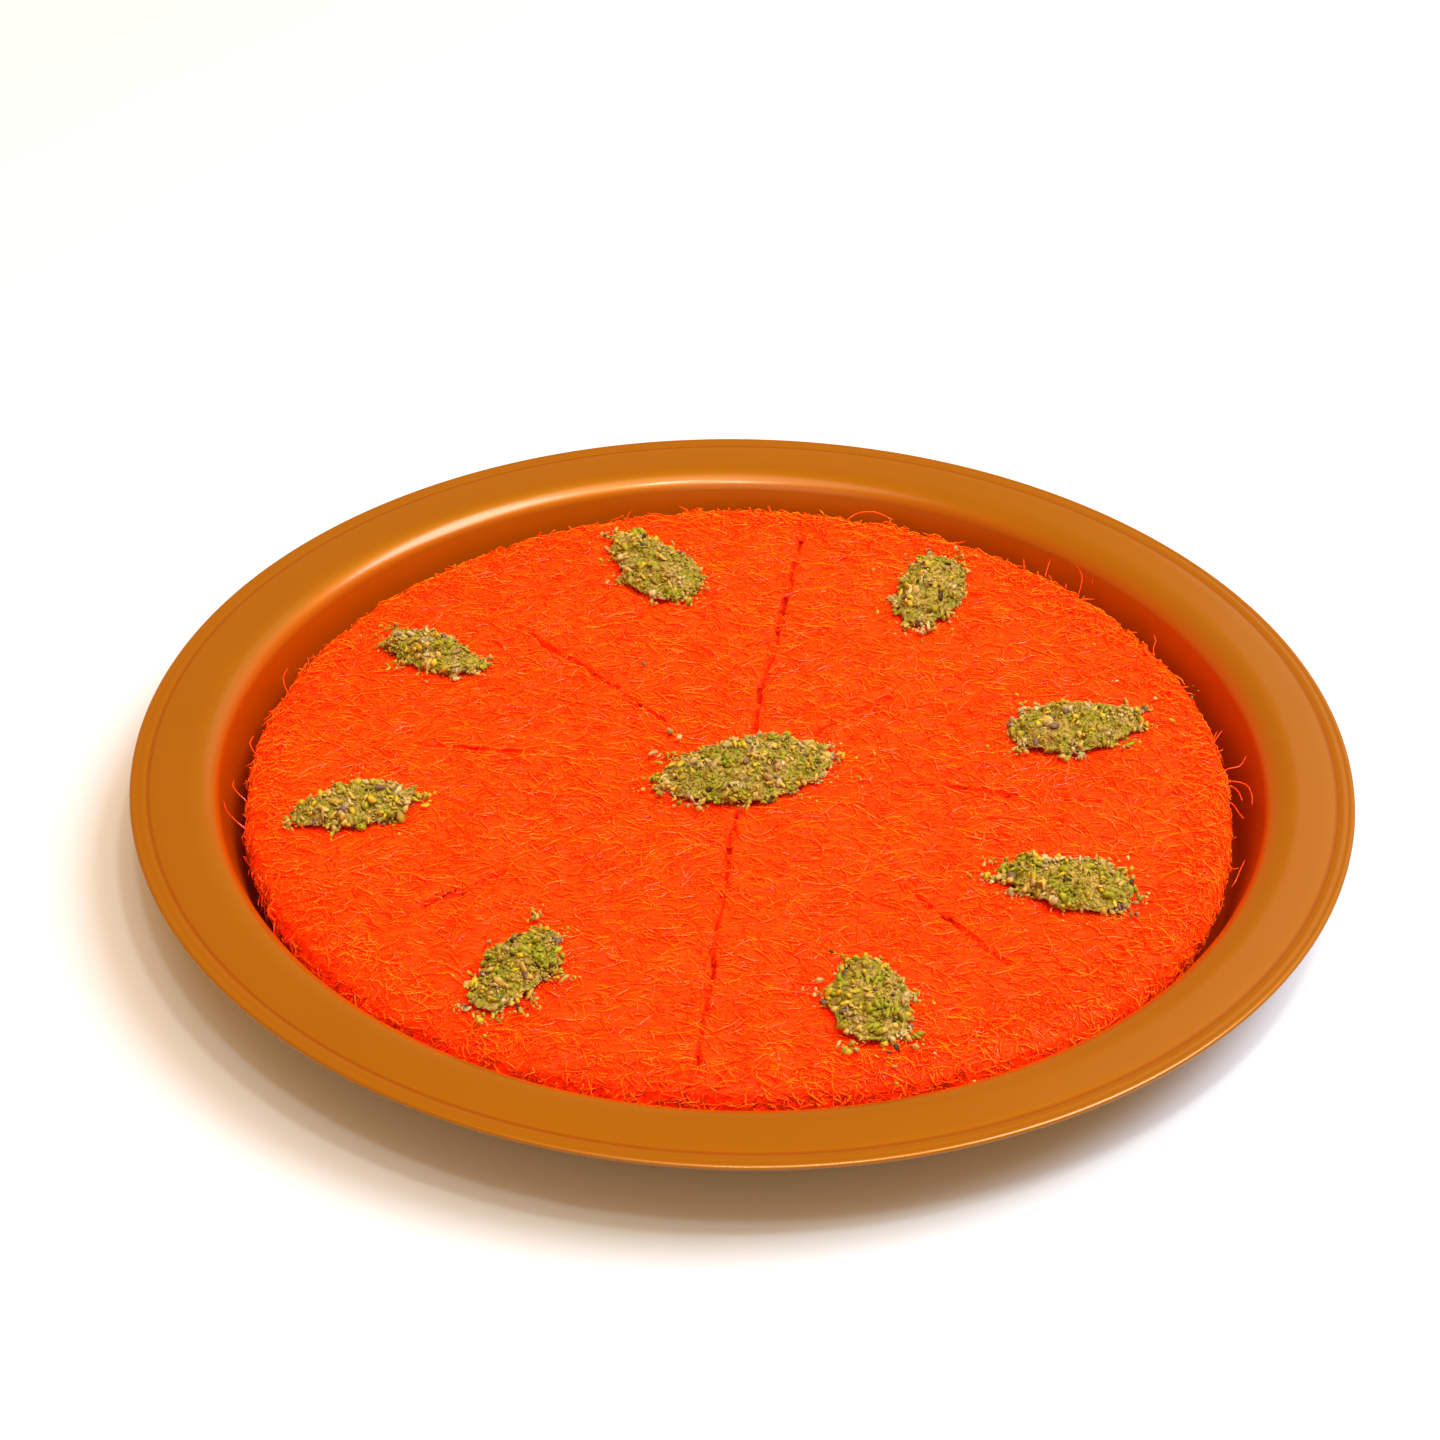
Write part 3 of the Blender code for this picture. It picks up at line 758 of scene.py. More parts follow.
def pressed_pastry(colours):
    """Dyed kataifi pastry, baked and soaked in syrup, as it looks deep between the shreds.

    The eye sees wet saturated red-orange with thread-like relief; its darker red in the hollows and in the
    torn pits is painted shade, and its paler thread tops are painted highlight.
    """
    material, tree, shader = new_material(
        "pressed_syrup_pastry", {**WET_PASTRY, "Roughness": 0.5, "Specular IOR Level": 0.05}
    )
    place = add_node(tree, "TexCoord").outputs["Object"]
    # shreds 0.7 mm thick, drawn as noise stretched about eight times along them in two directions
    heights = []
    for turn in (20.0, -35.0):
        stretch = add_node(
            tree,
            "Mapping",
            {"Vector": place, "Rotation": (0.0, 0.0, math.radians(turn)), "Scale": (0.12, 1.0, 1.0)},
        )
        pattern = {"Scale": millimetres(1.0), "Detail": 2.0, "Roughness": 0.6}
        threads = add_node(tree, "TexNoise", {"Vector": stretch.outputs["Vector"], **pattern})
        heights.append(threads.outputs["Fac"])
    higher = add_node(tree, "Math", {0: heights[0], 1: heights[1]}, operation="MAXIMUM")
    # painted shade and highlight: the colour follows the thread relief that the bump draws, deep red in its
    # hollows and pale on its tops
    tone = add_node(tree, "MapRange", {"Value": higher.outputs[0], "From Min": 0.46, "From Max": 0.66})
    deep, pale = rgba(colours.deep_shred), rgba(colours.pale_shred)
    threads_with_painted_shade = add_node(
        tree, "Mix", {"Factor": tone.outputs["Result"], 6: deep, 7: pale}, data_type="RGBA"
    )
    # painted shade: the torn scores are drawn dark red in their pits
    torn = add_node(tree, "Attribute", attribute_name="torn").outputs["Fac"]
    pit_shade = rgba(srgb("#B01C00"))
    level = add_node(tree, "Mix", {"Factor": torn, 6: threads_with_painted_shade.outputs[2], 7: pit_shade}, data_type="RGBA")
    bump = add_node(tree, "Bump", {"Height": higher.outputs[0], "Strength": 0.9, "Distance": 0.8 * MM})
    tree.links.new(level.outputs[2], shader.inputs["Base Color"])
    tree.links.new(bump.outputs["Normal"], shader.inputs["Normal"])
    return material


def syrupy_shred(name, colour, spread, roughness, gloss):
    """One tone of kataifi shred: thin batter threads, dyed, baked and glazed with syrup.

    The eye sees a wet thread with a thin pale glint along its ridge, and threads of slightly different
    orange.
    """
    material, tree, shader = new_material(
        name, {**WET_PASTRY, "Roughness": roughness, "Specular IOR Level": gloss}
    )
    place = add_node(tree, "TexCoord").outputs["Object"]
    darker = rgba([part * (1.0 - spread) for part in colour])
    lighter = rgba([min(1.0, part * (1.0 + spread)) for part in colour])
    tone = mottled(tree, place, 9.0, 2.0, (0.4, 0.6), darker, lighter)
    tree.links.new(tone, shader.inputs["Base Color"])
    return material


def model_shred(rings):
    """One straight shred with three sides and even rings, of unit length and unit radius."""
    clear_selection()
    bpy.ops.mesh.primitive_cylinder_add(vertices=3, radius=1.0, depth=1.0, end_fill_type="NGON")
    shred = bpy.context.object
    bpy.ops.object.mode_set(mode="EDIT")
    bpy.ops.mesh.select_all(action="DESELECT")
    bpy.ops.object.mode_set(mode="OBJECT")
    for edge in shred.data.edges:
        low, high = (shred.data.vertices[index].co for index in edge.vertices)
        edge.select = abs(low.z - high.z) > 0.5
    bpy.ops.object.mode_set(mode="EDIT")
    bpy.ops.mesh.select_mode(type="EDGE")
    bpy.ops.mesh.subdivide(number_cuts=rings - 2)
    bpy.ops.object.mode_set(mode="OBJECT")
    for vertex in shred.data.vertices:
        if abs(vertex.co.z) > 0.49:
            vertex.co.x *= END_TAPER
            vertex.co.y *= END_TAPER
    return shred


def mesh_parts(piece):
    """Corner places and triangles of a piece as arrays; the piece is then removed."""
    parts = vertex_vectors(piece.data), triangle_corners(piece.data)
    bpy.data.objects.remove(piece, do_unlink=True)
    return parts


def joined_mesh(name, places, triangles):
    """An object of one mesh from arrays of corner places and triangles."""
    mesh = bpy.data.meshes.new(name)
    mesh.vertices.add(len(places))
    mesh.vertices.foreach_set("co", places.astype(np.float32).ravel())
    mesh.loops.add(triangles.size)
    mesh.loops.foreach_set("vertex_index", triangles.astype(np.int32).ravel())
    mesh.polygons.add(len(triangles))
    mesh.polygons.foreach_set("loop_start", np.arange(0, triangles.size, 3, dtype=np.int32))
    mesh.update(calc_edges=True)
    mesh.validate()
    piece = bpy.data.objects.new(name, mesh)
    bpy.context.scene.collection.objects.link(piece)
    return piece


def cake_guess(distance, azimuth):
    """A point near the cake's skin, at a distance from its middle over the top and down the side."""
    flat = CAKE_RADIUS - CAKE_EDGE_ROUND
    over = distance - flat
    bend = 0.5 * math.pi * CAKE_EDGE_ROUND
    if over <= 0.0:
        radius, height = distance, CAKE_TOP
    elif over < bend:
        angle = over / CAKE_EDGE_ROUND
        radius = flat + CAKE_EDGE_ROUND * math.sin(angle)
        height = CAKE_TOP - CAKE_EDGE_ROUND * (1.0 - math.cos(angle))
    else:
        radius, height = CAKE_RADIUS, CAKE_TOP - CAKE_EDGE_ROUND - (over - bend)
    return Vector(
        (CAKE_CENTRE[0] + radius * math.cos(azimuth), CAKE_CENTRE[1] + radius * math.sin(azimuth), height)
    )


def grain_of_cake(point):
    """Azimuth along which most shreds lie near a point: sideways, wandering in drifts."""
    drift = noise.noise(Vector((point.x, point.y, 0.0)) * millimetres(GRAIN_DRIFT) + GRAIN_ORIGIN)
    return math.radians(GRAIN_AZIMUTH + GRAIN_SWING * drift)


def walk_shred(skin, start, azimuth, step, bends):
    """Points and skin normals of one shred that creeps over the cake."""
    point, normal, _, _ = skin.find_nearest(start)
    heading = Vector((math.cos(azimuth), math.sin(azimuth), 0.0))
    points, normals = [point], [normal]
    for bend in bends:
        heading = heading - heading.dot(normal) * normal
        if heading.length < 0.05:
            heading = normal.cross(Vector((math.sin(azimuth), -math.cos(azimuth), 0.0)))
        heading = Matrix.Rotation(bend, 3, normal) @ heading.normalized()
        point, normal, _, _ = skin.find_nearest(point + step * heading)
        points.append(point)
        normals.append(normal)
    return points, normals


def lay_paths(skin, draws, count, sizes, reach, wildness):
    """Paths of shreds over a band of the cake, given as distances over its skin from the middle."""
    points, normals = [], []
    for index in range(count):
        distance = math.sqrt(draws.uniform(reach[0] ** 2, reach[1] ** 2))
        around = draws.uniform(0.0, FULL_TURN)
        start = cake_guess(distance, around)
        edge = min(1.0, max(0.0, (distance - EDGE_FROM) / EDGE_REACH))
        azimuth = grain_of_cake(start) + draws.gauss(0.0, AZIMUTH_SPREAD[0] + AZIMUTH_SPREAD[1] * edge)
        if draws.random() < ASTRAY_SHARE[0] + ASTRAY_SHARE[1] * edge + wildness:
            azimuth = draws.uniform(0.0, FULL_TURN)
        length = sizes.shred_length * draws.uniform(*LENGTH_RANGE) * (1.0 - EDGE_SHORTENING * edge)
        curl = draws.gauss(0.0, CURL_SPREAD[0] + CURL_SPREAD[1] * edge + CURL_SPREAD[1] * wildness)
        bends = [curl + draws.gauss(0.0, BEND_SPREAD) for ring in range(SHRED_RINGS - 1)]
        path, upward = walk_shred(skin, start, azimuth, length / (SHRED_RINGS - 1), bends)
        points.append(path)
        normals.append(upward)
    return np.array(points), np.array(normals)


def clear_of_scores(points, rolls, chance):
    """Start and end, from 0 to 1, of each shred's longest part clear of the torn scores."""
    count = len(points)
    dense = part_of_paths(points, np.zeros(count), np.ones(count), PATH_STEPS)
    inside = torn_share(dense[:, :, :2]) > 0.5
    inside[rolls > chance] = False
    run, longest, last = np.zeros(count), np.zeros(count), np.zeros(count)
    for step in range(PATH_STEPS):
        run = np.where(inside[:, step], 0.0, run + 1.0)
        last = np.where(run > longest, float(step), last)
        longest = np.maximum(longest, run)
    scale = 1.0 / (PATH_STEPS - 1)
    return (last - longest + 1.0) * scale, last * scale, longest >= SHORTEST_RUN


def part_of_paths(values, low, high, rings=SHRED_RINGS):
    """Evenly spread rings over a part of each path, given as start and end along it from 0 to 1."""
    count, known, _ = values.shape
    at = (low[:, None] + (high - low)[:, None] * np.linspace(0.0, 1.0, rings)[None, :]) * (known - 1)
    first = np.clip(at.astype(int), 0, known - 2)
    share = (at - first)[:, :, None]
    rows = np.arange(count)[:, None]
    return values[rows, first] * (1.0 - share) + values[rows, first + 1] * share


def unit(vectors):
    return vectors / np.maximum(np.linalg.norm(vectors, axis=-1, keepdims=True), 1e-9)


def bend_copies(template, points, normals, radii, rolls, ring_count=SHRED_RINGS):
    """Corner places and triangles of many copies of the modelled shred, each along its own path."""
    places, triangles = template
    rings = np.rint((places[:, 2] + 0.5) * (ring_count - 1)).astype(int)
    tangents = unit(np.gradient(points, axis=1))
    sides = unit(np.cross(tangents, normals))
    ups = unit(np.cross(sides, tangents))
    turn = rolls[:, None]
    across = places[None, :, 0] * np.cos(turn) - places[None, :, 1] * np.sin(turn)
    upward = places[None, :, 0] * np.sin(turn) + places[None, :, 1] * np.cos(turn)
    scale = radii[:, None, None]
    corners = (
        points[:, rings]
        + scale * across[:, :, None] * sides[:, rings]
        + scale * upward[:, :, None] * ups[:, rings]
    )
    shift = np.arange(len(points))[:, None, None] * len(places)
    return corners.reshape(-1, 3), (triangles[None] + shift).reshape(-1, 3)


def lay_layer(skin, template, sizes, number, layer):
    """Corner places and triangles of one layer of shreds."""
    count, band, lift, spread, wave, cut, wildness, standing = layer
    draws = random.Random(100 + number)
    arrays = np.random.default_rng(200 + number)
    reach = [value * MM for value in band]
    points, normals = lay_paths(skin, draws, count, sizes, reach, wildness)
    low, high, kept = clear_of_scores(points, arrays.random(count), cut)
    points, normals = (part_of_paths(values, low, high)[kept] for values in (points, normals))
    count = len(points)
    along = np.linspace(0.0, 1.0, SHRED_RINGS)[None, :]
    waviness = arrays.uniform(*WAVES_ALONG, (count, 1))
    swell = np.sin(along * waviness + arrays.uniform(0.0, FULL_TURN, (count, 1)))
    rise = arrays.normal(lift, spread, (count, 1)) + wave * swell
    rise[:, [0, -1]] -= END_DIP
    stands = arrays.random((count, 1)) < standing
    rise += np.where(stands, arrays.uniform(*END_RISE, (count, 1)) * along**END_RISE_BEND, 0.0)
    points = points + normals * (rise * MM)[:, :, None]
    points[:, :, 2] = np.maximum(points[:, :, 2], SHEET + sizes.shred_thickness)
    radii = 0.5 * sizes.shred_thickness * arrays.uniform(*THICKNESS_RANGE, count)
    return bend_copies(template, points, normals, radii, arrays.uniform(0.0, FULL_TURN, count))


class KUNAFA_OT_shreds(bpy.types.Operator):
    """Lays thousands of curved shreds in layers over the cake, cut where the knife scored it"""

    bl_idname = "kunafa.shreds"
    bl_label = "Lay the shreds"

    def execute(self, context):
        sizes = context.scene.kunafa_sizes
        guide = shred_guide()
        skin = surface_of(guide)
        bpy.data.objects.remove(guide, do_unlink=True)
        template = mesh_parts(model_shred(SHRED_RINGS))
        for number, (name, (tone, *layer)) in enumerate(SHRED_LAYERS.items()):
            self.dress_shreds(context, name, lay_layer(skin, template, sizes, number, layer), tone)
        strays = np.array([spline_points(stray) for stray in STRAY_SHREDS]) * MM
        upward = np.broadcast_to((0.0, 0.0, 1.0), strays.shape)
        radii = np.full(len(strays), 0.5 * STRAY_THICKNESS * sizes.shred_thickness)
        template = mesh_parts(model_shred(STRAY_RINGS))
        made = bend_copies(template, strays, upward, radii, radii, STRAY_RINGS)
        self.dress_shreds(context, "shreds_stray", made, "pale")
        return {"FINISHED"}

    def dress_shreds(self, context, name, made, tone):
        piece = joined_mesh(name, *made)
        smooth(piece)
        colour, *finish = SHRED_TONES[tone]
        colour = getattr(context.scene.kunafa_colours, colour)
        dress(piece, syrupy_shred(f"kataifi_{name}", colour, *finish))


def spline_points(knots):
    """Evenly stepped points of a smooth curve through the knots."""
    knots = [Vector(knot) for knot in knots]
    ends = [2.0 * knots[0] - knots[1], *knots, 2.0 * knots[-1] - knots[-2]]
    points = []
    for step in range(STRAY_RINGS):
        at = step * (len(knots) - 1) / (STRAY_RINGS - 1)
        span = min(int(at), len(knots) - 2)
        share = at - span
        before, start, end, after = ends[span : span + 4]
        points.append(
            0.5
            * (
                2.0 * start
                + (end - before) * share
                + (2.0 * before - 5.0 * start + 4.0 * end - after) * share**2
                + (3.0 * start - before - 3.0 * end + after) * share**3
            )
        )
    return points


def shred_guide():
    """The cake's solid with its tufts smoothed, as the surface that the shreds creep over."""
    guide = node_copy("pastry", "shred_guide")
    edit_whole(bpy.ops.mesh.subdivide, number_cuts=1, smoothness=0.0)
    apply_modifier(guide, "SMOOTH", factor=0.5, iterations=2)
    roughen(guide, "lumps", *LUMPS)
    return guide


def nut_flesh(name, code):
    """Chopped pistachio: dry matt flesh with a faint waxy sheen where it was cut, and papery dark skins.

    The eye sees grains that differ in tone one from another, and slightly mottled faces.
    """
    colour = srgb(code)
    material, tree, shader = new_material(name, {"Roughness": 0.62, "IOR": 1.47, "Specular IOR Level": 0.25})
    place = add_node(tree, "TexCoord").outputs["Object"]
    darker = rgba([0.62 * part for part in colour])
    lighter = rgba([min(1.0, 1.3 * part) for part in colour])
    flesh = mottled(tree, place, 1.6, 3.0, (0.3, 0.7), darker, lighter)
    pits = add_node(tree, "TexNoise", {"Vector": place, "Scale": millimetres(0.5), "Detail": 2.0})
    bump = add_node(tree, "Bump", {"Height": pits.outputs["Fac"], "Strength": 0.4, "Distance": 0.3 * MM})
    tree.links.new(flesh, shader.inputs["Base Color"])
    tree.links.new(bump.outputs["Normal"], shader.inputs["Normal"])
    return material


def ground_nut():
    """The fine meal between the chips.

    The eye sees olive and tan powder with darker hollows and pale specks under a millimetre, in drifts of
    greener and browner meal; the darker hollows, which follow the bump's relief, are painted shade.
    """
    material, tree, shader = new_material(
        "ground_pistachio_meal", {"Roughness": 0.85, "IOR": 1.47, "Specular IOR Level": 0.2}
    )
    place = add_node(tree, "TexCoord").outputs["Object"]
    grains = add_node(
        tree,
        "TexNoise",
        {"Vector": place, "Scale": millimetres(1.0), "Detail": 4.0, "Roughness": 0.7},
    )
    ramps = []
    # painted shade: both ramps run dark at the low values of the noise that also drives the bump, so the
    # meal's hollows are drawn darker
    for stops in (
        ((0.34, "#443810"), (0.44, "#766628"), (0.56, "#90803C"), (0.68, "#A6985A")),
        ((0.34, "#3A3A06"), (0.44, "#626212"), (0.56, "#7A7A1C"), (0.68, "#94923E")),
    ):
        ramp = add_node(tree, "ValToRGB", {"Fac": grains.outputs["Fac"]})
        for position, code in stops[2:]:
            ramp.color_ramp.elements.new(position)
        for element, (position, code) in zip(ramp.color_ramp.elements, stops):
            element.position = position
            element.color = rgba(srgb(code))
        ramps.append(ramp.outputs["Color"])
    meal = mottled(tree, place, 5.0, 1.0, (0.42, 0.6), *ramps)
    bump = add_node(tree, "Bump", {"Height": grains.outputs["Fac"], "Strength": 0.9, "Distance": 0.9 * MM})
    tree.links.new(meal, shader.inputs["Base Color"])
    tree.links.new(bump.outputs["Normal"], shader.inputs["Normal"])
    return material


class KUNAFA_OT_heaps(bpy.types.Operator):
    """Rounds a copy of each heap's solid into a mound of fine meal"""

    bl_idname = "kunafa.heaps"
    bl_label = "Heap the meal"

    def execute(self, context):
        meal = ground_nut()
        for node in HEAP_NODES:
            mound = node_copy(node, node.replace("pistachio", "meal"))
            apply_modifier(mound, "REMESH", mode="VOXEL", voxel_size=MEAL_VOXEL)
            apply_modifier(mound, "SMOOTH", factor=0.5, iterations=MEAL_SMOOTHING)
            roughen(mound, "slump", *SLUMP)
            roughen(mound, "crumble", *CRUMBLE)
            smooth(mound)
            dress(mound, meal)
            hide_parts(node)
        return {"FINISHED"}


def model_chip(draws, width, height, cuts):
    """One chip of nut: a lump, slice or sliver with a few flat cuts, about one unit long."""
    clear_selection()
    bpy.ops.mesh.primitive_ico_sphere_add(subdivisions=1, radius=0.5)
    chip = bpy.context.object
    bpy.ops.object.mode_set(mode="EDIT")
    for cut in range(cuts):
        bpy.ops.mesh.select_all(action="SELECT")
        normal = Vector([draws.gauss(0.0, 1.0) for axis in range(3)]).normalized()
        bpy.ops.mesh.bisect(
            plane_co=normal * draws.uniform(*CUT_DEPTHS), plane_no=normal, use_fill=True, clear_outer=True
        )
    bpy.ops.mesh.select_all(action="SELECT")
    bpy.ops.transform.resize(value=(CHIP_LENGTH, width, height), center_override=(0.0, 0.0, 0.0))
    bpy.ops.mesh.normals_make_consistent(inside=False)
    bpy.ops.object.mode_set(mode="OBJECT")
    return chip


def surface_points(piece, count, arrays, lowest_slope):
    """Random points and normals spread evenly over a piece's faces, apart from those that look down."""
    corners = vertex_vectors(piece.data)[triangle_corners(piece.data)]
    crosses = np.cross(corners[:, 1] - corners[:, 0], corners[:, 2] - corners[:, 0])
    areas = np.linalg.norm(crosses, axis=1)
    normals = crosses / np.maximum(areas, 1e-15)[:, None]
    areas = np.where(normals[:, 2] > lowest_slope, areas, 0.0)
    chosen = arrays.choice(len(areas), count, p=areas / areas.sum())
    first, second = np.sqrt(arrays.random(count)), arrays.random(count)
    weights = np.stack((1.0 - first, first * (1.0 - second), first * second), axis=1)
    return (corners[chosen] * weights[:, :, None]).sum(axis=1), normals[chosen]


def turns(count, arrays):
    """Random rotation matrices."""
    quaternions = unit(arrays.normal(size=(count, 4)))
    w, x, y, z = quaternions.T
    rows = (
        (1 - 2 * (y * y + z * z), 2 * (x * y - z * w), 2 * (x * z + y * w)),
        (2 * (x * y + z * w), 1 - 2 * (x * x + z * z), 2 * (y * z - x * w)),
        (2 * (x * z - y * w), 2 * (y * z + x * w), 1 - 2 * (x * x + y * y)),
    )
    return np.array(rows).transpose(2, 0, 1)


def scatter(templates, kinds, places, lengths, arrays):
    """Corner places and triangles of one modelled grain at each place, turned and stretched at random."""
    spins = turns(len(places), arrays)
    corners, triangles, shift = [], [], 0
    for kind, (shape, faces) in enumerate(templates):
        rows = np.nonzero(kinds == kind)[0]
        stretch = arrays.uniform(*STRETCH_RANGE, (len(rows), 1, 3))
        turned = np.einsum("nij,nvj->nvi", spins[rows], shape[None] * stretch)
        made = places[rows][:, None, :] + turned * lengths[rows][:, None, None]
        over = made[:, :, 2].max(axis=1) - HIGHEST_GRAIN
        made[:, :, 2] -= np.maximum(over, 0.0)[:, None]
        corners.append(made.reshape(-1, 3))
        step = np.arange(len(rows))[:, None, None] * len(shape)
        triangles.append((faces[None] + step).reshape(-1, 3) + shift)
        shift += made.shape[0] * made.shape[1]
    return np.concatenate(corners), np.concatenate(triangles)


def drift_at(place):
    """Smooth field from -1 to 1, in which like grains lie together in drifts."""
    return noise.noise(Vector(place) * millimetres(DRIFT_WIDTH))


def grain_lengths(arrays, count, lengths):
    """Random lengths of grains, the long ones rarer than the short."""
    shortest, reach, rarity = lengths
    return MM * (shortest + reach * arrays.random(count) ** rarity)


def rolled_off(mound, count, spread, arrays):
    """Places at a mound's foot and beyond it, fewer the further out, in uneven fans."""
    found, _ = surface_points(mound, FOOT_TRIES * count, arrays, FOOT_SLOPE)
    middle = 0.5 * (found[:, :2].min(axis=0) + found[:, :2].max(axis=0))
    foot = found[np.abs(found[:, 2] - CAKE_TOP) < FOOT_BAND]
    foot = foot[arrays.integers(0, len(foot), count)]
    fans = [FOOT_REACH + FOOT_SWING * drift_at(place) for place in foot]
    fans = np.clip(fans, *FOOT_LIMITS)[:, None]
    foot[:, :2] += unit(foot[:, :2] - middle) * fans * arrays.exponential(spread, (len(foot), 1))
    return foot


def strewn_grains(arrays):
    """Places and lengths of all grains on the heaps, round them and in the fans beside them."""
    places, lengths = [], []
    for node in HEAP_NODES:
        mound = bpy.data.objects[node.replace("pistachio", "meal")]
        share = CENTRE_SHARE if node == "pistachio_centre" else 1.0
        for per_heap, sizes, lift in HEAP_LAYERS:
            count = int(share * per_heap)
            found, normals = surface_points(mound, count, arrays, MOUND_SLOPE)
            length = grain_lengths(arrays, count, sizes)
            places.append(found + normals * (lift * length)[:, None])
            lengths.append(length)
        for per_heap, sizes, spread in FOOT_LAYERS:
            found = rolled_off(mound, int(share * per_heap), spread * MM, arrays)
            length = grain_lengths(arrays, len(found), sizes)
            found[:, 2] = CAKE_TOP + GRAIN_LIFT * MM + GRAIN_LIFT * length
            places.append(found)
            lengths.append(length)
    fans = np.repeat(np.array(HEAP_FANS) * MM, FAN_GRAINS, axis=0)
    fans += arrays.normal(0.0, FAN_SPREAD, fans.shape)
    length = grain_lengths(arrays, len(fans), FAN_LENGTHS)
    lift = GRAIN_LIFT * MM + arrays.uniform(*FAN_LIFT, len(fans)) * length
    places.append(np.column_stack((fans, CAKE_TOP + lift)))
    lengths.append(length)
    return np.concatenate(places), np.concatenate(lengths)


class KUNAFA_OT_nuts(bpy.types.Operator):
    """Strews chopped pistachio over the mounds and lets some roll off round them"""

    bl_idname = "kunafa.nuts"
    bl_label = "Strew the nuts"

    def execute(self, context):
        draws = random.Random(31)
        arrays = np.random.default_rng(32)
        grains = [mesh_parts(model_chip(draws, *shape)) for shape in CHIP_SHAPES]
        places, lengths = strewn_grains(arrays)
        small = lengths < SHORTEST_CHIP
        crumbs = arrays.integers(0, CRUMB_SHAPES, len(places))
        kinds = np.where(small, crumbs, arrays.integers(0, len(grains), len(places)))
        # the tone goes by the rank of a random draw that the drift shifts
        drift = np.array([drift_at(place) for place in places])
        rolls = (arrays.random(len(places)) + DRIFT_PULL * drift).argsort().argsort() / len(places)
        low_chip = low_crumb = 0.0
        for name, (code, of_chips, of_crumbs) in KERNEL_TONES.items():
            picked = np.where(
                small,
                (rolls >= low_crumb) & (rolls < low_crumb + of_crumbs),
                (rolls >= low_chip) & (rolls < low_chip + of_chips),
            )
            low_chip += of_chips
            low_crumb += of_crumbs
            own = [grain[:3] for grain in SINGLE_GRAINS if grain[3] == name]
            spots = [(x, y, CAKE_TOP / MM + GRAIN_LIFT + GRAIN_LIFT * length) for x, y, length in own]
            corners, triangles = scatter(
                grains,
                np.concatenate((kinds[picked], np.arange(len(own)) % len(grains))),
                np.concatenate((places[picked], np.array(spots).reshape(-1, 3) * MM)),
                np.concatenate((lengths[picked], [length * MM for _, _, length in own])),
                arrays,
            )
            piece = joined_mesh(f"pistachio_{name}", corners, triangles)
            dress(piece, nut_flesh(f"pistachio_{name}_flesh", code))
        return {"FINISHED"}


def place_camera():
    elevation = math.radians(CAMERA_ELEVATION)
    back = Vector((0.0, -math.cos(elevation), math.sin(elevation)))
    forward, right = -back, Vector((1.0, 0.0, 0.0))
    up = right.cross(forward)
    turn = Matrix.Rotation(math.radians(CAMERA_PAN), 3, up)
    forward, right = turn @ forward, turn @ right
    turn = Matrix.Rotation(math.radians(CAMERA_TILT), 3, right)
    forward, up = turn @ forward, turn @ up
    turn = Matrix.Rotation(math.radians(CAMERA_ROLL), 3, forward)
    right, up = turn @ right, turn @ up
    data = bpy.data.cameras.new("camera")
    data.lens = LENS
    data.sensor_width = SENSOR
    data.clip_start = 0.01
    camera = bpy.data.objects.new("camera", data)
    bpy.context.scene.collection.objects.link(camera)
    camera.matrix_world = Matrix((right, up, -forward)).transposed().to_4x4()
    camera.location = back * CAMERA_DISTANCE + Vector((0.0, 0.0, CAMERA_AIM_Z))
    bpy.context.scene.camera = camera


def soft_light(name, azimuth, elevation, distance, size, power, colour):
    """A rectangular soft light aimed at the tray."""
    data = bpy.data.lights.new(name, "AREA")
    data.shape = "RECTANGLE"
    data.size, data.size_y = size
    data.energy = power
    data.color = colour
    light = bpy.data.objects.new(name, data)
    bpy.context.scene.collection.objects.link(light)
    level = math.cos(elevation)
    out = Vector((math.cos(azimuth) * level, math.sin(azimuth) * level, math.sin(elevation)))
    light.location = out * distance
    light.rotation_mode = "QUATERNION"
    light.rotation_quaternion = (-out).to_track_quat("-Z", "Y")


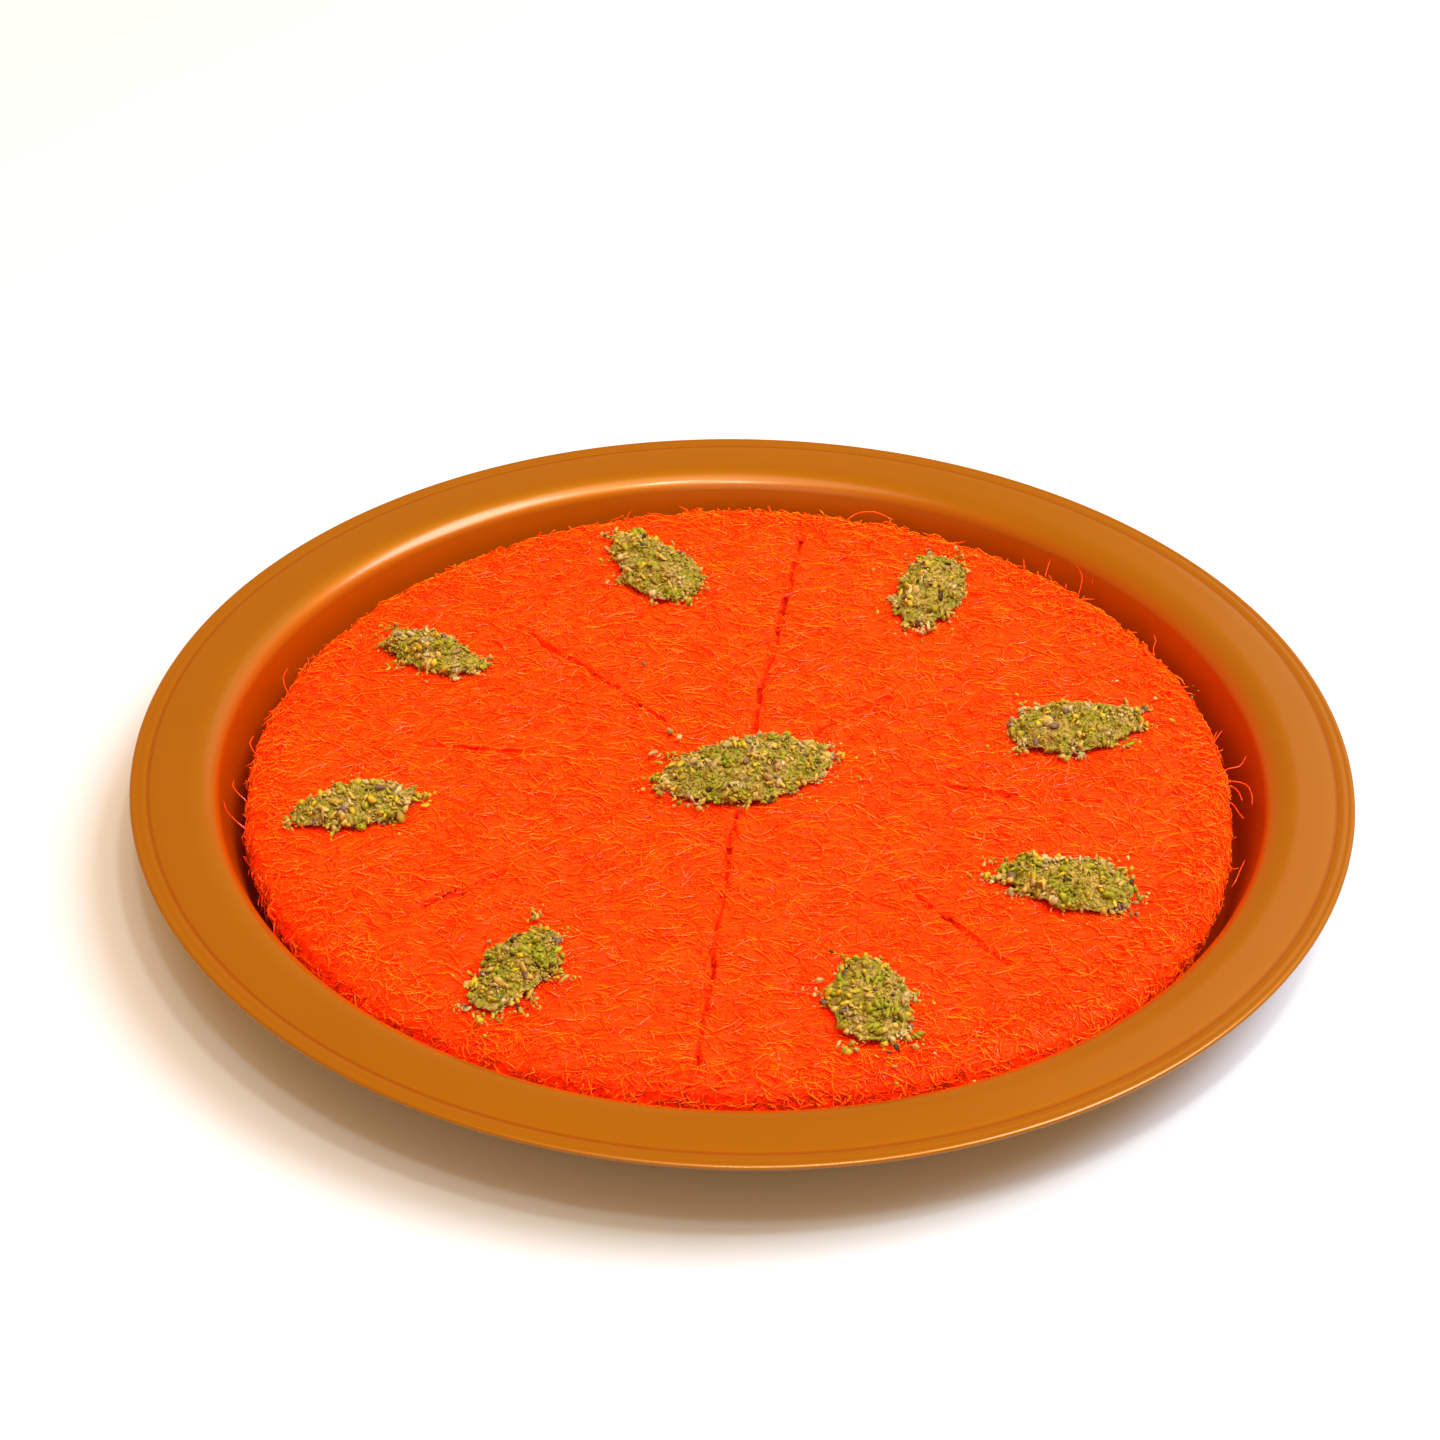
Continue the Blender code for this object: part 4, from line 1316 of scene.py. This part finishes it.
class KUNAFA_OT_stage(bpy.types.Operator):
    """Sets the pale floor, the soft lights and the camera"""

    bl_idname = "kunafa.stage"
    bl_label = "Set the stage"

    def execute(self, context):
        clear_selection()
        bpy.ops.mesh.primitive_plane_add(size=FLOOR_SIDE)
        floor = context.object
        floor.name = "floor"
        paint = {"Roughness": 0.7, "Base Color": rgba(srgb("#AFBFCF"))}
        floor.data.materials.append(new_material("pale_floor", paint)[0])
        world = context.scene.world or bpy.data.worlds.new("world")
        context.scene.world = world
        world.use_nodes = True
        background = world.node_tree.nodes["Background"]
        background.inputs["Color"].default_value = WORLD_COLOUR
        background.inputs["Strength"].default_value = WORLD_STRENGTH
        for name, (azimuth, elevation, *rest) in LIGHTS.items():
            azimuth = math.radians(azimuth)
            if name == "window":
                azimuth = context.scene.kunafa_sizes.sun_azimuth
            soft_light(name, azimuth, math.radians(elevation), *rest)
        context.scene.view_settings.view_transform = "Standard"
        place_camera()
        return {"FINISHED"}


class KUNAFA_PT_panel(bpy.types.Panel):
    """Lists the steps that dress the kunafa"""

    bl_idname = "KUNAFA_PT_panel"
    bl_label = "Kunafa"
    bl_space_type = "VIEW_3D"
    bl_region_type = "UI"
    bl_category = "Kunafa"

    def draw(self, context):
        for step in STEPS:
            self.layout.operator(step.bl_idname)
        for name in KunafaColours.__annotations__:
            self.layout.prop(context.scene.kunafa_colours, name)
        for name in KunafaSizes.__annotations__:
            self.layout.prop(context.scene.kunafa_sizes, name)


STEPS = (
    KUNAFA_OT_tray,
    KUNAFA_OT_cake,
    KUNAFA_OT_shreds,
    KUNAFA_OT_heaps,
    KUNAFA_OT_nuts,
    KUNAFA_OT_stage,
)
CLASSES = (KunafaColours, KunafaSizes, *STEPS, KUNAFA_PT_panel)


def register():
    for item in CLASSES:
        bpy.utils.register_class(item)
    bpy.types.Scene.kunafa_colours = PointerProperty(type=KunafaColours)
    bpy.types.Scene.kunafa_sizes = PointerProperty(type=KunafaSizes)


def unregister():
    del bpy.types.Scene.kunafa_sizes
    del bpy.types.Scene.kunafa_colours
    for item in reversed(CLASSES):
        bpy.utils.unregister_class(item)


def main():
    register()
    bpy.ops.kunafa.tray()
    bpy.ops.kunafa.cake()
    bpy.ops.kunafa.shreds()
    bpy.ops.kunafa.heaps()
    bpy.ops.kunafa.nuts()
    bpy.ops.kunafa.stage()


if __name__ == "__main__":
    main()
